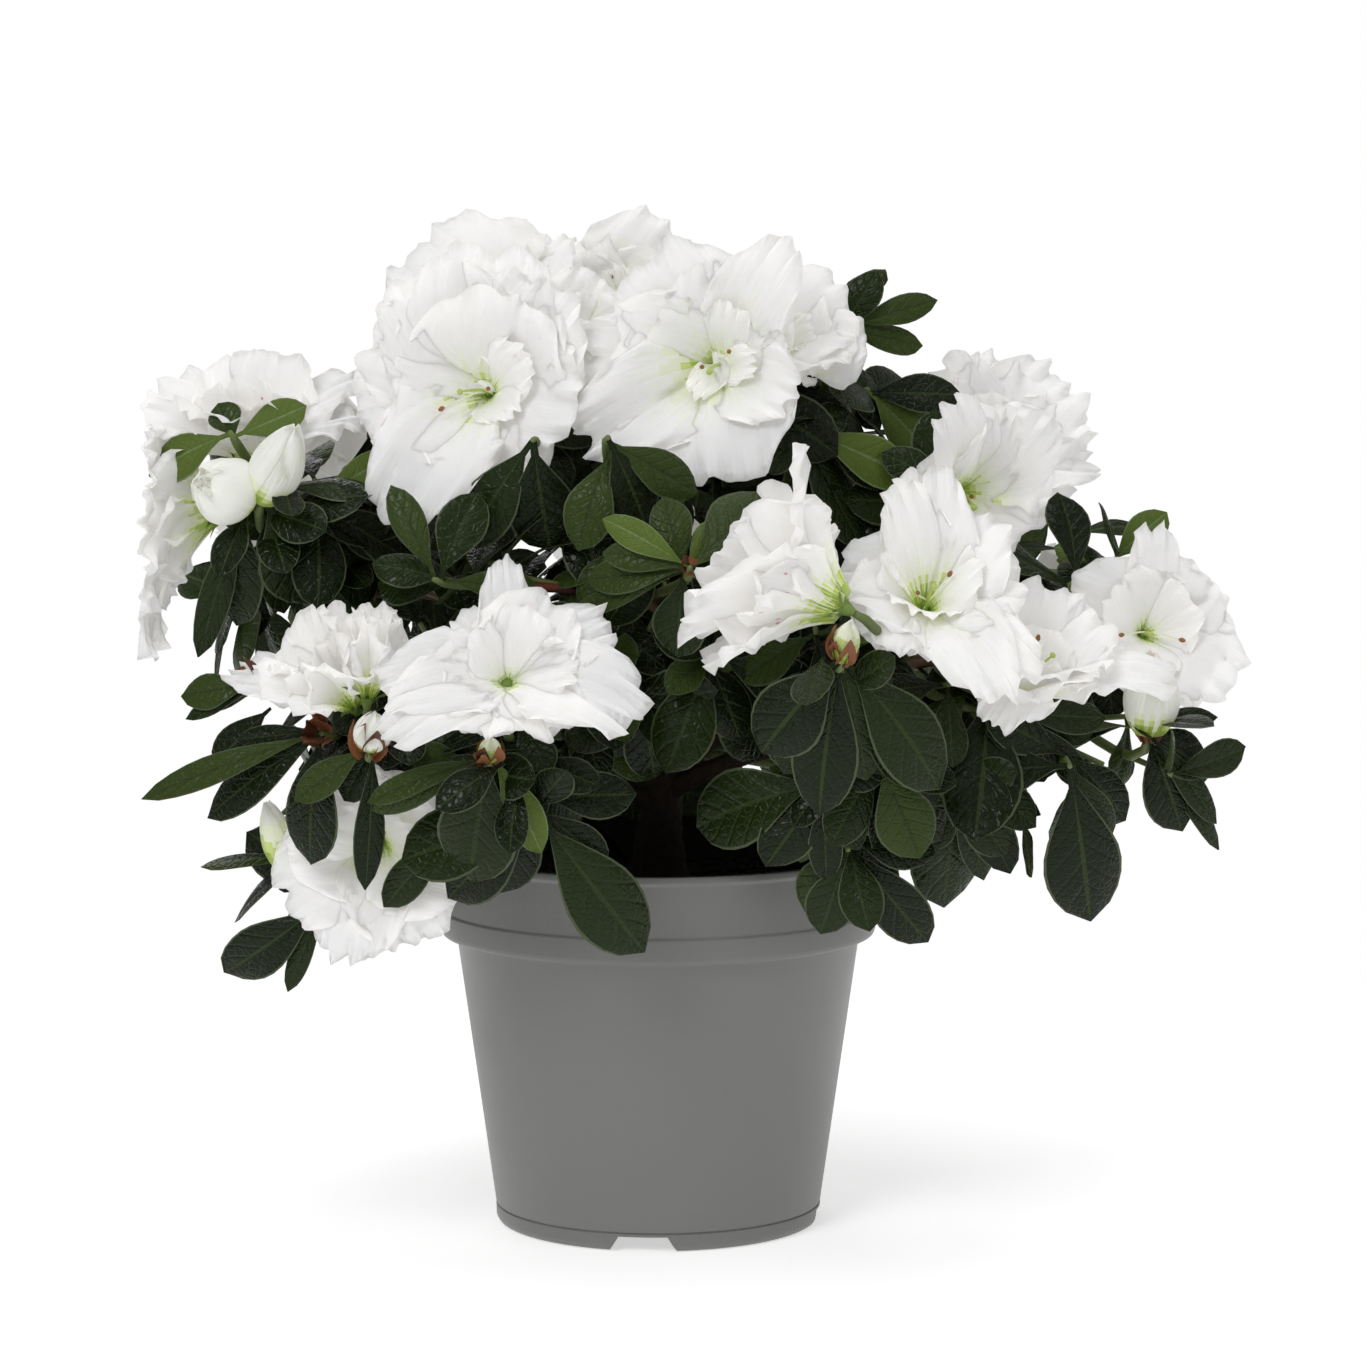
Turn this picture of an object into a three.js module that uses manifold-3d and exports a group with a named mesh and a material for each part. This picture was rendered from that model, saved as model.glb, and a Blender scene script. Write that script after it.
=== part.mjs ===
// A white double azalea, Rhododendron simsii, in flower in its nursery pot.
// Millimetres, +Z up. The origin is the middle of the pot's underside, and -Y is the front of the plant.
//
// The shrub is built as it grows: a short trunk stands on the soil, boughs leave it at rising heights, and
// each bough carries one mass. A mass is a stem that forks into twigs, and each twig ends in a ruff of
// leaves, with a bloom or a bud in the middle of the ruffs that flower.

import * as THREE from "three";
import { mergeVertices } from "three/addons/utils/BufferGeometryUtils.js";
import Module from "manifold-3d";

const wasm = await Module();
wasm.setup();

const { Vector3 } = THREE;
const UP = new Vector3(0, 0, 1);
const { degToRad: radians, lerp } = THREE.MathUtils;

// ---- Driving dimensions ----

const GAP = 0.3; // kept between pieces that touch on the real plant
const SIDES = 32; // around the pot and the soil
const MERGE = 0.05; // edges shorter than this are merged away

const pot = {
  height: 102.2,
  rimRadius: 60,
  footRadius: 44.2,
  wall: 1.3,
  collarHeight: 23.8, // the band round the top that stands proud of the body
  collarBand: 7.4, // its lower, slightly wider strip
  collarStep: 4.2, // how far it stands out at its lower edge
  bodyTopRadius: 54.5,
  lipHeight: 1.8, // the thin lip round the rim
  rimWall: 2,
  ringHeight: 4.9, // the foot ring below the body's crease
  footRounding: 1.6,
  padRadius: 21, // flat middle of the underside
  channelDepth: 4.2, // the channel between the pad and the foot ring
  ringWidth: 5.5,
  notches: 4,
  notchTurn: -5, // degrees from the front
  notchWidth: 17.6, // at the ground
  notchTopWidth: 13,
};

const soil = { depthBelowRim: 9, crown: 2.5, flatRadius: 11 };

const trunk = {
  height: 46,
  footRadius: 9.5, // with its root flare
  neckRadius: 6.2, // above the flare
  tipRadius: 4.2,
  flare: 7, // height in which the flare dies away
  lean: 5, // to the right, at the tip
  sides: 12,
  steps: 7,
};

// A bough runs along this share of the curve from the trunk to its mass's hub, and the stem along the rest.
const bough = { footRadius: 2.9, tipRadius: 2.0, share: 0.58, rise: 6, arch: 0.1, sides: 6, steps: 2 };

// Boughs leave the trunk between two shares of its height, for hubs between two heights.
const forks = { lowest: 0.34, highest: 0.92, lowestHub: 110, highestHub: 200 };

const stem = { tipRadius: 1.5, sides: 5, steps: 2 };

// Twigs leave the stem between two shares of the bough's curve, and swell a little towards their ends.
const twig = {
  footRadius: 1.2,
  tipRadius: 1.7,
  firstFork: 0.66,
  lastFork: 0.98,
  bend: 0.36, // handles of its curve, as a share of its length
  sides: 3,
  steps: 2,
};

const leaf = {
  length: 37,
  vary: 0.14, // share by which lengths differ
  width: 0.5, // of the length
  kite: 1.12, // a kite is this much wider than the oval leaf that it stands for
  thickness: 0.034, // of the length
  widest: 0.56, // where along the leaf it is widest
  start: 0.3, // from the middle of the shoot to the leaf's root
  spacing: 1.3, // along the shoot from one leaf to the next
  clear: 4.5, // past this distance from its root a leaf keeps clear of its neighbours
  lowTilt: 92, // degrees between the shoot and the lowest, longest leaf of a ruff
  highTilt: 48, // and its highest leaf
  tiltVary: 9,
  shorten: 0.3, // the highest leaf is shorter by this share
  turn: 137.5, // degrees round the shoot from one leaf to the next
  curl: 26, // degrees that the blade bends back over its length
  sag: 0.26, // pull of its weight on the direction it sets out in
  tries: 4, // places tried before a crowded leaf is left out
  tryTurn: 0.4, // radians between them
};

// A corolla: lengths are shares of the bloom's size, and root and rim are its directions there, in degrees
// from the bloom's axis.
const corolla = {
  lobes: 5,
  length: 0.65,
  root: 18,
  rim: 94,
  waist: 0.56, // where along it the funnel turns outward
  notch: 0.93, // length between the lobes, as a share of the lobes'
  thickness: 0.022,
  plug: 0.13, // solid part of the throat
  ruffle: 0.035,
};
const bloomSeat = { depth: 0.35, stalk: 7, sink: 1.6 }; // depth as a share of size, and bare stalk below it
const bud = { length: 1.35, sink: 0.6, sides: 6, rings: 4 }; // length as a share of its size

const filler = { near: 0.55, leaves: 5, moreLeaves: 2, reach: 0.9 }; // near as a share of the mass's spread
const crownMiddle = [4, 0, 128]; // fillers look away from here
const room = 30; // a mass's leaves stay within this distance past its farthest head

// ---- The masses ----

// Each mass has a hub where its stem forks. A head is a twig's end at a stated place, and face is the way it
// looks: [degrees round from the front, degrees above level]. "bloom" and "bud" give a size across. "fan"
// holds the leaves that stand out: [degrees clockwise from upright as seen from the front, length, width].
// "leaves" is the number that the seeded rule adds, and "fillers" the number of leafy twigs that it sets
// round the hub, out to "spread".
const masses = [
  {
    name: "mass_left_upper",
    hub: [-76, -28, 178],
    fillers: 1,
    spread: 32,
    heads: [
      { at: [-105, -40, 223], face: [-10, 68], bloom: 50, open: 0.95, leaves: 2 },
      { at: [-133, -44, 196], face: [-90, 0], bloom: 58, open: 1, leaves: 3 },
      { at: [-106, -62, 200], face: [-70, 25], bud: 19, leaves: 1, fan: [[191, 34, 16], [200, 43, 9]] },
      { at: [-100, -64, 201], face: [40, 52], bud: 15, leaves: 1, fan: [[153, 31, 20], [168, 32, 12]] },
      {
        at: [-109, -58, 217],
        face: [-20, 40],
        leaves: 0,
        fan: [[252, 25, 12], [66, 20, 11], [335, 11, 9]],
      },
      { at: [-88, -55, 199], face: [20, 10], leaves: 3, fan: [[55, 27, 9], [118, 26, 12]] },
    ],
  },
  {
    name: "mass_top_left",
    hub: [-30, -14, 198],
    fillers: 1,
    spread: 32,
    heads: [
      { at: [-47, -66, 231], face: [-10, 12], bloom: 68, open: 1, leaves: 3 },
      { at: [-42, -36, 252], face: [-12, 44], bloom: 60, open: 1, leaves: 3 },
      { at: [-9, -15, 253], face: [5, 30], bloom: 44, open: 1, leaves: 2 },
      { at: [-20, -44, 240], face: [12, 14], bloom: 38, open: 1, leaves: 1 },
      { at: [-31, -76, 216], face: [-6, 8], leaves: 1, fan: [[173, 32, 18], [216, 34, 15]] },
    ],
  },
  {
    name: "mass_top_right",
    hub: [24, -12, 196],
    fillers: 1,
    spread: 32,
    heads: [
      { at: [14, -66, 237], face: [-8, 10], bloom: 62, open: 1, leaves: 3 },
      { at: [33, -44, 245], face: [16, 36], bloom: 46, open: 0.85, leaves: 2 },
      {
        at: [50, -14, 243],
        face: [30, 24],
        leaves: 1,
        fan: [[72, 26, 8], [95, 22, 9], [350, 12, 6], [222, 18, 12]],
      },
      { at: [56, -12, 226], face: [50, 20], leaves: 2, fan: [[128, 26, 14], [88, 27, 12]] },
      { at: [38, -40, 217], face: [24, 20], leaves: 2, fan: [[110, 36, 14], [176, 24, 12], [62, 15, 9]] },
    ],
  },
  {
    name: "mass_centre",
    hub: [-6, -58, 176],
    fillers: 0,
    spread: 30,
    heads: [
      {
        at: [8.5, -104, 186],
        face: [0, 22],
        leaves: 1,
        fan: [
          [304, 25, 8],
          [287, 22, 8],
          [267, 27, 10],
          [252, 34, 6],
          [342, 20, 11],
          [38, 16, 9],
          [188, 22, 14],
        ],
      },
      { at: [-12, -84, 217], face: [6, 8], leaves: 1, fan: [[152, 26, 14], [116, 27, 12]] },
      { at: [-56, -80, 181], face: [-20, 14], leaves: 2, fan: [[335, 27, 9], [18, 24, 13], [94, 25, 9]] },
      { at: [-4, -66, 152], face: [0, -4], leaves: 2, fan: [[172, 28, 14], [222, 27, 14], [128, 26, 13]] },
      { at: [-14, -70, 166], face: [-10, 4], leaves: 5 },
      { at: [16, -74, 160], face: [14, 4], leaves: 5 },
    ],
  },
  {
    name: "mass_right_front",
    hub: [42, -62, 164],
    fillers: 0,
    spread: 26,
    heads: [
      { at: [28, -100, 185], face: [-105, 25], bloom: 60, open: 0.9, leaves: 0 },
      { at: [69, -95, 185], face: [5, 40], bloom: 54, open: 1, leaves: 2 },
      { at: [98, -80, 166], face: [25, 52], bloom: 56, open: 0.9, leaves: 2 },
      {
        at: [45.6, -116, 165],
        face: [0, 25],
        bud: 8,
        leaves: 0,
        fan: [[224, 34, 19], [192, 42, 17], [166, 33, 15], [135, 44, 19], [148, 36, 9]],
      },
    ],
  },
  {
    name: "mass_right_back",
    hub: [68, -2, 182],
    fillers: 1,
    spread: 30,
    heads: [
      { at: [84, -48, 199], face: [25, -5], bloom: 40, open: 0.9, leaves: 2 },
      { at: [93, 6, 211], face: [40, 24], bloom: 54, open: 0.9, leaves: 3, fan: [[322, 17, 11]] },
      { at: [124, 0, 179], face: [60, 30], leaves: 3, fan: [[278, 16, 7], [44, 20, 10], [292, 15, 8]] },
    ],
  },
  {
    name: "mass_right_end",
    hub: [98, -18, 156],
    fillers: 1,
    spread: 28,
    heads: [
      { at: [131, -40, 166], face: [12, 16], bloom: 46, open: 1, leaves: 2, fan: [[98, 24, 12]] },
      {
        at: [127, -56, 140],
        face: [8, 78],
        bud: 20,
        leaves: 0,
        fan: [[158, 30, 15], [136, 34, 8], [142, 43, 6], [116, 23, 14], [72, 24, 6]],
      },
      { at: [105, -75, 133], face: [10, 0], leaves: 1, fan: [[170, 46, 21], [148, 26, 9]] },
    ],
  },
  {
    name: "mass_left_front",
    hub: [-58, -58, 152],
    fillers: 0,
    spread: 26,
    heads: [
      { at: [-84, -92, 162], face: [-42, 48], bloom: 48, open: 0.62, leaves: 1 },
      { at: [-71, -94, 161], face: [20, 70], bloom: 26, open: 0.35, leaves: 0 },
      { at: [-84, -88, 143], face: [-20, 20], leaves: 1, fan: [[254, 50, 8], [241, 40, 12], [266, 26, 6]] },
      {
        at: [-71, -97, 141],
        face: [0, 60],
        bud: 9,
        leaves: 0,
        fan: [[236, 25, 9], [181, 38, 8], [212, 18, 10]],
      },
      { at: [-102, -74, 154], face: [-50, 10], leaves: 2, fan: [[264, 21, 10], [252, 22, 5]] },
    ],
  },
  {
    name: "mass_centre_front",
    hub: [-30, -66, 148],
    fillers: 0,
    spread: 26,
    heads: [
      { at: [-36, -108, 165], face: [5, 58], bloom: 60, open: 1, leaves: 0 },
      {
        at: [-41, -110, 139.5],
        face: [0, 12],
        bud: 7,
        leaves: 0,
        fan: [[256, 34, 7], [250, 37, 9], [194, 36, 21], [151, 28, 10]],
      },
      { at: [-29, -98, 123], face: [8, -6], leaves: 1, fan: [[143, 47, 20], [230, 35, 17], [128, 24, 10]] },
    ],
  },
  {
    name: "mass_left_low",
    hub: [-60, -34, 122],
    fillers: 1,
    spread: 28,
    heads: [
      { at: [-72, -84, 112], face: [-5, -4], bloom: 48, open: 1, leaves: 2 },
      { at: [-95, -70, 107], face: [-50, 40], bud: 9, leaves: 2 },
      { at: [-85, -70, 97], face: [-20, -20], leaves: 0, fan: [[232, 37, 14], [209, 28, 6], [222, 20, 5]] },
      { at: [-52, -88, 118], face: [-10, -10], leaves: 0, fan: [[222, 27, 10]] },
      { at: [-84, -4, 108], face: [-100, -10], leaves: 6 },
    ],
  },
  {
    name: "mass_right_low",
    hub: [58, -40, 132],
    fillers: 0,
    spread: 26,
    heads: [
      {
        at: [48.6, -78, 112],
        face: [0, -10],
        leaves: 0,
        fan: [[197, 26, 13], [174, 20, 10], [143, 37, 14]],
      },
      { at: [42, -84, 130], face: [-10, -6], leaves: 1, fan: [[178, 28, 9], [212, 27, 14], [196, 24, 13]] },
      { at: [56, -92, 136], face: [4, 0], leaves: 1, fan: [[155, 27, 16], [139, 27, 15]] },
      { at: [78, -70, 132], face: [14, -4], leaves: 2, fan: [[157, 31, 12], [168, 34, 9], [122, 26, 7]] },
      { at: [92, -72, 147], face: [0, 10], leaves: 1, fan: [[158, 22, 14], [131, 29, 8], [92, 27, 10]] },
      { at: [92, -24, 122], face: [70, -6], leaves: 5 },
    ],
  },
  {
    name: "mass_back_left",
    hub: [-66, 42, 168],
    fillers: 3,
    spread: 40,
    heads: [
      { at: [-104, 54, 196], face: [-120, 34], bloom: 60, open: 1, leaves: 4 },
      { at: [-70, 82, 184], face: [-148, 24], bloom: 58, open: 1, leaves: 4 },
      { at: [-116, 14, 170], face: [-95, 10], leaves: 5 },
    ],
  },
  {
    name: "mass_back_top",
    hub: [-4, 26, 194],
    fillers: 1,
    spread: 36,
    heads: [
      { at: [-26, 28, 245], face: [-150, 60], bloom: 60, open: 1, leaves: 4 },
      { at: [30, 38, 240], face: [145, 52], bloom: 62, open: 1, leaves: 5 },
      { at: [-2, 62, 222], face: [-178, 40], leaves: 6 },
    ],
  },
  {
    name: "mass_back_middle",
    hub: [4, 66, 158],
    fillers: 2,
    spread: 38,
    heads: [
      { at: [-4, 108, 176], face: [-176, 22], bloom: 62, open: 1, leaves: 5 },
      { at: [-36, 104, 150], face: [-160, 0], leaves: 5 },
      { at: [30, 96, 140], face: [165, -6], leaves: 5 },
    ],
  },
  {
    name: "mass_back_right",
    hub: [68, 46, 160],
    fillers: 3,
    spread: 38,
    heads: [
      { at: [84, 78, 186], face: [138, 32], bloom: 60, open: 1, leaves: 4 },
      { at: [114, 48, 156], face: [108, 10], bloom: 50, open: 0.9, leaves: 4 },
    ],
  },
  {
    name: "mass_back_low",
    hub: [-12, 44, 124],
    fillers: 3,
    spread: 34,
    heads: [
      { at: [-44, 78, 118], face: [-145, -10], bloom: 48, open: 0.95, leaves: 4 },
      { at: [10, 84, 110], face: [172, -18], leaves: 5 },
      { at: [52, 66, 112], face: [135, -14], leaves: 5 },
      { at: [-76, 46, 112], face: [-118, -14], leaves: 5 },
    ],
  },
];

// ---- Numbers, directions and curves ----

// A repeatable stream of numbers from 0 to 1 (mulberry32).
function randomStream(seed) {
  let state = seed >>> 0;
  return () => {
    state = (state + 0x6d2b79f5) >>> 0;
    let t = state;
    t = Math.imul(t ^ (t >>> 15), t | 1);
    t ^= t + Math.imul(t ^ (t >>> 7), t | 61);
    return ((t ^ (t >>> 14)) >>> 0) / 4294967296;
  };
}

const along = (start, direction, distance) => start.clone().addScaledVector(direction, distance);

// The unit vector that looks round degrees from the front and above degrees over level.
function facing([round, above]) {
  const [turn, rise] = [radians(round), radians(above)];
  return new Vector3(Math.sin(turn) * Math.cos(rise), -Math.cos(turn) * Math.cos(rise), Math.sin(rise));
}

// What is left of a vector at right angles to a direction, as a unit vector.
function acrossFrom(direction, vector) {
  const rest = vector.clone().addScaledVector(direction, -vector.dot(direction));
  return rest.lengthSq() > 1e-9 ? rest.normalize() : acrossFrom(direction, new Vector3(1, 0.3, 0));
}

// A point on an arc of that length, which sets out from start turned by rootAngle from the axis towards side
// and has turned to tipAngle at its end.
function arcPoint(start, axis, side, length, rootAngle, tipAngle, t) {
  const bend = tipAngle - rootAngle || 1e-6;
  const angle = rootAngle + bend * t;
  return start
    .clone()
    .addScaledVector(axis, (length / bend) * (Math.sin(angle) - Math.sin(rootAngle)))
    .addScaledVector(side, (length / bend) * (Math.cos(rootAngle) - Math.cos(angle)));
}

// ---- Solids ----

function solidOf(geometry) {
  const bare = new THREE.BufferGeometry().setAttribute("position", geometry.getAttribute("position"));
  const merged = mergeVertices(geometry.index ? bare.setIndex(geometry.index) : bare, 1e-4);
  const mesh = new wasm.Mesh({
    numProp: 3,
    vertProperties: merged.attributes.position.array,
    triVerts: new Uint32Array(merged.index.array),
  });
  mesh.merge();
  return new wasm.Manifold(mesh);
}

function geometryOf(solid) {
  const mesh = solid.getMesh();
  return new THREE.BufferGeometry()
    .setAttribute("position", new THREE.BufferAttribute(mesh.vertProperties, 3))
    .setIndex(new THREE.BufferAttribute(mesh.triVerts, 1));
}

// Its largest body, without the loose scraps that a cut can leave.
function largest(solid) {
  return solid.decompose().reduce((best, body) => (body.volume() > best.volume() ? body : best));
}

// A solid turned about the Z axis, from [radius, height] corners in order round its section.
function turned(profile, sides = SIDES) {
  const points = profile.map(([radius, height]) => new THREE.Vector2(radius, height));
  return new THREE.LatheGeometry(points, sides).rotateX(Math.PI / 2);
}

// A round limb along a curve from one share of it to another, with its radii at both ends.
function limb(curve, from, to, footRadius, tipRadius, sides, steps) {
  const geometry = new THREE.CylinderGeometry(tipRadius, footRadius, 1, sides, steps);
  const places = geometry.getAttribute("position");
  const side = acrossFrom(curve.getTangentAt(from), new Vector3(0.31, 0.17, 0.93));
  for (let i = 0; i < places.count; i++) {
    const share = from + (to - from) * (places.getY(i) + 0.5);
    const axis = curve.getTangentAt(share);
    const first = acrossFrom(axis, side);
    const second = new Vector3().crossVectors(first, axis);
    const point = curve.getPointAt(share);
    point.addScaledVector(first, places.getX(i)).addScaledVector(second, places.getZ(i));
    places.setXYZ(i, point.x, point.y, point.z);
  }
  return solidOf(geometry);
}

// A closed solid from corner points and faces, turned right side out.
function facedSolid(corners, faces) {
  const geometry = new THREE.BufferGeometry().setFromPoints(corners).setIndex(faces);
  const solid = solidOf(geometry);
  if (solid.volume() > 0) return solid;
  for (let i = 0; i < faces.length; i += 3) [faces[i + 1], faces[i + 2]] = [faces[i + 2], faces[i + 1]];
  return solidOf(geometry.setIndex(faces));
}

// ---- Pot, soil, trunk and boughs ----

const collarFoot = pot.height - pot.collarHeight;
const collarRadius = pot.bodyTopRadius + pot.collarStep;
const collarInner = collarRadius - pot.wall;
const floorTop = pot.channelDepth + pot.wall;
const bodySlope = (pot.bodyTopRadius - pot.footRadius) / (collarFoot - pot.ringHeight);

// The radius of the body's inner face at a height.
const innerRadius = (height) => pot.footRadius - pot.wall + bodySlope * (height - pot.ringHeight);

function makePot() {
  const ringInner = pot.footRadius - pot.ringWidth;
  const shell = solidOf(
    turned([
      [0, 0],
      [pot.padRadius, 0],
      [pot.padRadius + 2, pot.channelDepth],
      [ringInner - 1, pot.channelDepth],
      [ringInner, 0],
      [pot.footRadius - pot.footRounding, 0],
      [pot.footRadius - 0.2, pot.footRounding],
      [pot.footRadius, pot.ringHeight],
      [pot.bodyTopRadius, collarFoot],
      [collarRadius, collarFoot + 1.2],
      [collarRadius + 0.4, collarFoot + pot.collarBand],
      [pot.rimRadius - 0.5, pot.height - pot.lipHeight - 0.6],
      [pot.rimRadius, pot.height - pot.lipHeight],
      [pot.rimRadius - 0.2, pot.height],
      [pot.rimRadius - pot.rimWall, pot.height],
      [collarInner, collarFoot + 2.4],
      [innerRadius(collarFoot) - 0.2, collarFoot + 0.6],
      [innerRadius(floorTop), floorTop],
      [0, floorTop],
    ]),
  );
  const [half, halfTop, top] = [pot.notchWidth / 2, pot.notchTopWidth / 2, pot.channelDepth - 0.2];
  const outline = new THREE.Shape(
    [[-half, -1], [half, -1], [half, 0], [halfTop, top], [-halfTop, top], [-half, 0]].map(
      ([x, z]) => new THREE.Vector2(x, z),
    ),
  );
  let cut = shell;
  for (let i = 0; i < pot.notches; i++) {
    const notch = new THREE.ExtrudeGeometry(outline, { depth: pot.ringWidth + 4, bevelEnabled: false });
    notch.rotateX(Math.PI / 2).translate(0, 2 - ringInner, 0);
    notch.rotateZ(radians(pot.notchTurn + (360 / pot.notches) * i));
    cut = cut.subtract(solidOf(notch));
  }
  return cut;
}

const soilTop = pot.height - soil.depthBelowRim;

function makeSoil() {
  const low = floorTop + GAP;
  return solidOf(
    turned([
      [0, low],
      [innerRadius(floorTop) - GAP, low],
      [innerRadius(collarFoot) - 0.2 - GAP, collarFoot + 1],
      [collarInner - 0.1 - GAP, collarFoot + 3],
      [collarInner - 0.2 - GAP, soilTop - soil.crown],
      [soil.flatRadius, soilTop],
      [0, soilTop],
    ]),
  );
}

// The trunk leans as it rises, and carries its root flare on a flat foot.
const leanAt = (height) => trunk.lean * (height / trunk.height) ** 2;

function makeTrunk(extra = 0) {
  const profile = [[0, 0]];
  for (let i = 0; i <= trunk.steps; i++) {
    const height = (trunk.height * i) / trunk.steps;
    const taper = lerp(trunk.neckRadius, trunk.tipRadius, i / trunk.steps);
    const flare = (trunk.footRadius - trunk.neckRadius) * Math.exp(-height / trunk.flare);
    profile.push([taper + flare + extra, i === trunk.steps ? height + extra : height]);
  }
  profile.push([0, trunk.height + extra]);
  const geometry = turned(profile, trunk.sides);
  const places = geometry.getAttribute("position");
  for (let i = 0; i < places.count; i++) places.setX(i, places.getX(i) + leanAt(places.getZ(i)));
  return solidOf(geometry.translate(0, 0, soilTop + GAP));
}

// Boughs for low masses leave the trunk low, and those for high masses near its tip.
function boughCurve(mass) {
  const hub = new Vector3(...mass.hub);
  const share = (hub.z - forks.lowestHub) / (forks.highestHub - forks.lowestHub);
  const height = trunk.height * lerp(forks.lowest, forks.highest, THREE.MathUtils.clamp(share, 0, 1));
  const foot = new Vector3(leanAt(height), 0, soilTop + GAP + height);
  const middle = foot.clone().lerp(hub, 0.5);
  middle.z += bough.rise + bough.arch * foot.distanceTo(hub);
  return new THREE.QuadraticBezierCurve3(foot, middle, hub);
}

// ---- Leaves, petals, buds and twigs ----

// A leaf's plan: its root, the way it sets out, the side it bends to, its length and its width. Its upper
// side looks towards bright. Leaf 0 is the highest of its shoot.
function leafPlan(ruff, order, set, bright, length, width) {
  const back = acrossFrom(set, bright).negate();
  const root = along(along(ruff.tip, ruff.shoot, -leaf.spacing * (order + 0.5)), set, leaf.start);
  return { root, set, back, length, width };
}

// A stated leaf, which sets out square to the line of sight from the front.
function fanLeaf(ruff, k) {
  const [clock, length, width] = ruff.fan[k];
  const set = new Vector3(Math.sin(radians(clock)), 0, Math.cos(radians(clock)));
  const bright = ruff.aim.clone().multiplyScalar(0.4).add(new Vector3(0, -1, 0.3));
  return leafPlan(ruff, k, set, bright, length, width);
}

// Leaf k of those that follow the seeded rule: the first are the lowest, longest and flattest.
function ruffLeaf(ruff, k, turnedBy) {
  const { aim, phase, leaves, draw, reach = 1 } = ruff;
  const rank = leaves > 1 ? k / (leaves - 1) : 0;
  const turn = phase + turnedBy + radians(leaf.turn) * k + (draw() - 0.5) * 0.5;
  const tilt = radians(lerp(leaf.lowTilt, leaf.highTilt, rank) + (draw() - 0.5) * 2 * leaf.tiltVary);
  const length = leaf.length * reach * (1 - leaf.shorten * rank) * (1 + (draw() - 0.5) * 2 * leaf.vary);
  const first = acrossFrom(aim, UP);
  const second = new Vector3().crossVectors(aim, first);
  const outward = first.multiplyScalar(Math.cos(turn)).addScaledVector(second, Math.sin(turn));
  const set = aim.clone().multiplyScalar(Math.cos(tilt)).addScaledVector(outward, Math.sin(tilt));
  set.addScaledVector(UP, -leaf.sag * (0.5 + draw())).normalize();
  const bright = aim.clone().addScaledVector(UP, 0.45);
  return leafPlan(ruff, leaves - 1 - k, set, bright, length, length * leaf.width);
}

// A leaf is a kite with a spine: root, tip, two edges and a point above and below its middle.
function leafSolid(plan, grow = 0, skipped = 0) {
  const length = plan.length + grow;
  const at = (t) => arcPoint(plan.root, plan.set, plan.back, length, 0, radians(leaf.curl), t);
  const across = new Vector3().crossVectors(plan.set, plan.back).normalize();
  const middle = at(leaf.widest);
  const half = (plan.width * leaf.kite) / 2 + grow;
  const thick = (plan.length * leaf.thickness) / 2 + grow;
  const corners = [
    at(skipped / length),
    along(middle, across, half),
    along(middle, plan.back, -thick),
    along(middle, across, -half),
    along(middle, plan.back, thick),
    at(1),
  ];
  const faces = [1, 2, 3, 4].flatMap((corner) => {
    const next = (corner % 4) + 1;
    return [0, next, corner, 5, corner, next];
  });
  return facedSolid(corners, faces);
}

// A corolla is a thin funnel with a solid throat, a scalloped, ruffled rim and a sharp edge.
function corollaSolid(seat, axis, phase, { bloom, open }, grow = 0) {
  const count = corolla.lobes * 2;
  const first = acrossFrom(axis, UP);
  const second = new Vector3().crossVectors(axis, first);
  const thick = (corolla.thickness * bloom) / 2 + grow;
  const root = radians(corolla.root);
  const rim = root + radians(corolla.rim - corolla.root) * open;
  const sides = Array.from({ length: count }, (_, i) => {
    const angle = phase + (i / count) * 2 * Math.PI;
    return first.clone().multiplyScalar(Math.cos(angle)).addScaledVector(second, Math.sin(angle));
  });
  const lean = root + (rim - root) * corolla.waist;
  const waist = (offset) =>
    sides.map((side) => {
      const inward = axis.clone().multiplyScalar(Math.sin(lean)).addScaledVector(side, -Math.cos(lean));
      return along(arcPoint(seat, axis, side, corolla.length * bloom, root, rim, corolla.waist), inward, offset);
    });
  const edge = sides.map((side, i) => {
    const length = corolla.length * bloom * (i % 2 ? corolla.notch : 1) + grow;
    const ruffle = corolla.ruffle * bloom * (i % 4 < 2 ? 1 : -1);
    return along(arcPoint(seat, axis, side, length, root, rim, 1), axis, ruffle);
  });
  const outerFoot = along(seat, axis, -bloomSeat.sink);
  const innerFoot = along(seat, axis, corolla.plug * bloom);
  const corners = [outerFoot, ...waist(-thick), innerFoot, ...waist(thick), ...edge];
  const faces = [];
  for (let i = 0; i < count; i++) {
    const next = (i + 1) % count;
    const [outer, outerNext, inner, innerNext] = [1 + i, 1 + next, count + 2 + i, count + 2 + next];
    const [high, highNext] = [2 * count + 2 + i, 2 * count + 2 + next];
    faces.push(0, outerNext, outer, outer, outerNext, high, outerNext, highNext, high);
    faces.push(count + 1, inner, innerNext, inner, high, innerNext, innerNext, high, highNext);
  }
  return facedSolid(corners, faces);
}

// A closed bud: a ball drawn out along its axis, with its foot at the shoot's tip.
function budSolid(tip, axis, size, grow = 0) {
  const ball = new THREE.SphereGeometry(size / 2 + grow, bud.sides, bud.rings);
  ball.scale(1, bud.length, 1);
  ball.applyQuaternion(new THREE.Quaternion().setFromUnitVectors(new Vector3(0, 1, 0), axis));
  const middle = along(tip, axis, (size / 2) * bud.length - bud.sink);
  return solidOf(ball.translate(middle.x, middle.y, middle.z));
}

// A twig leaves its stem along the stem and ends looking along its aim.
function twigCurve(fork, forkDirection, end, aim) {
  const reach = fork.distanceTo(end) * twig.bend;
  return new THREE.CubicBezierCurve3(fork, along(fork, forkDirection, reach), along(end, aim, -reach), end);
}

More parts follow.
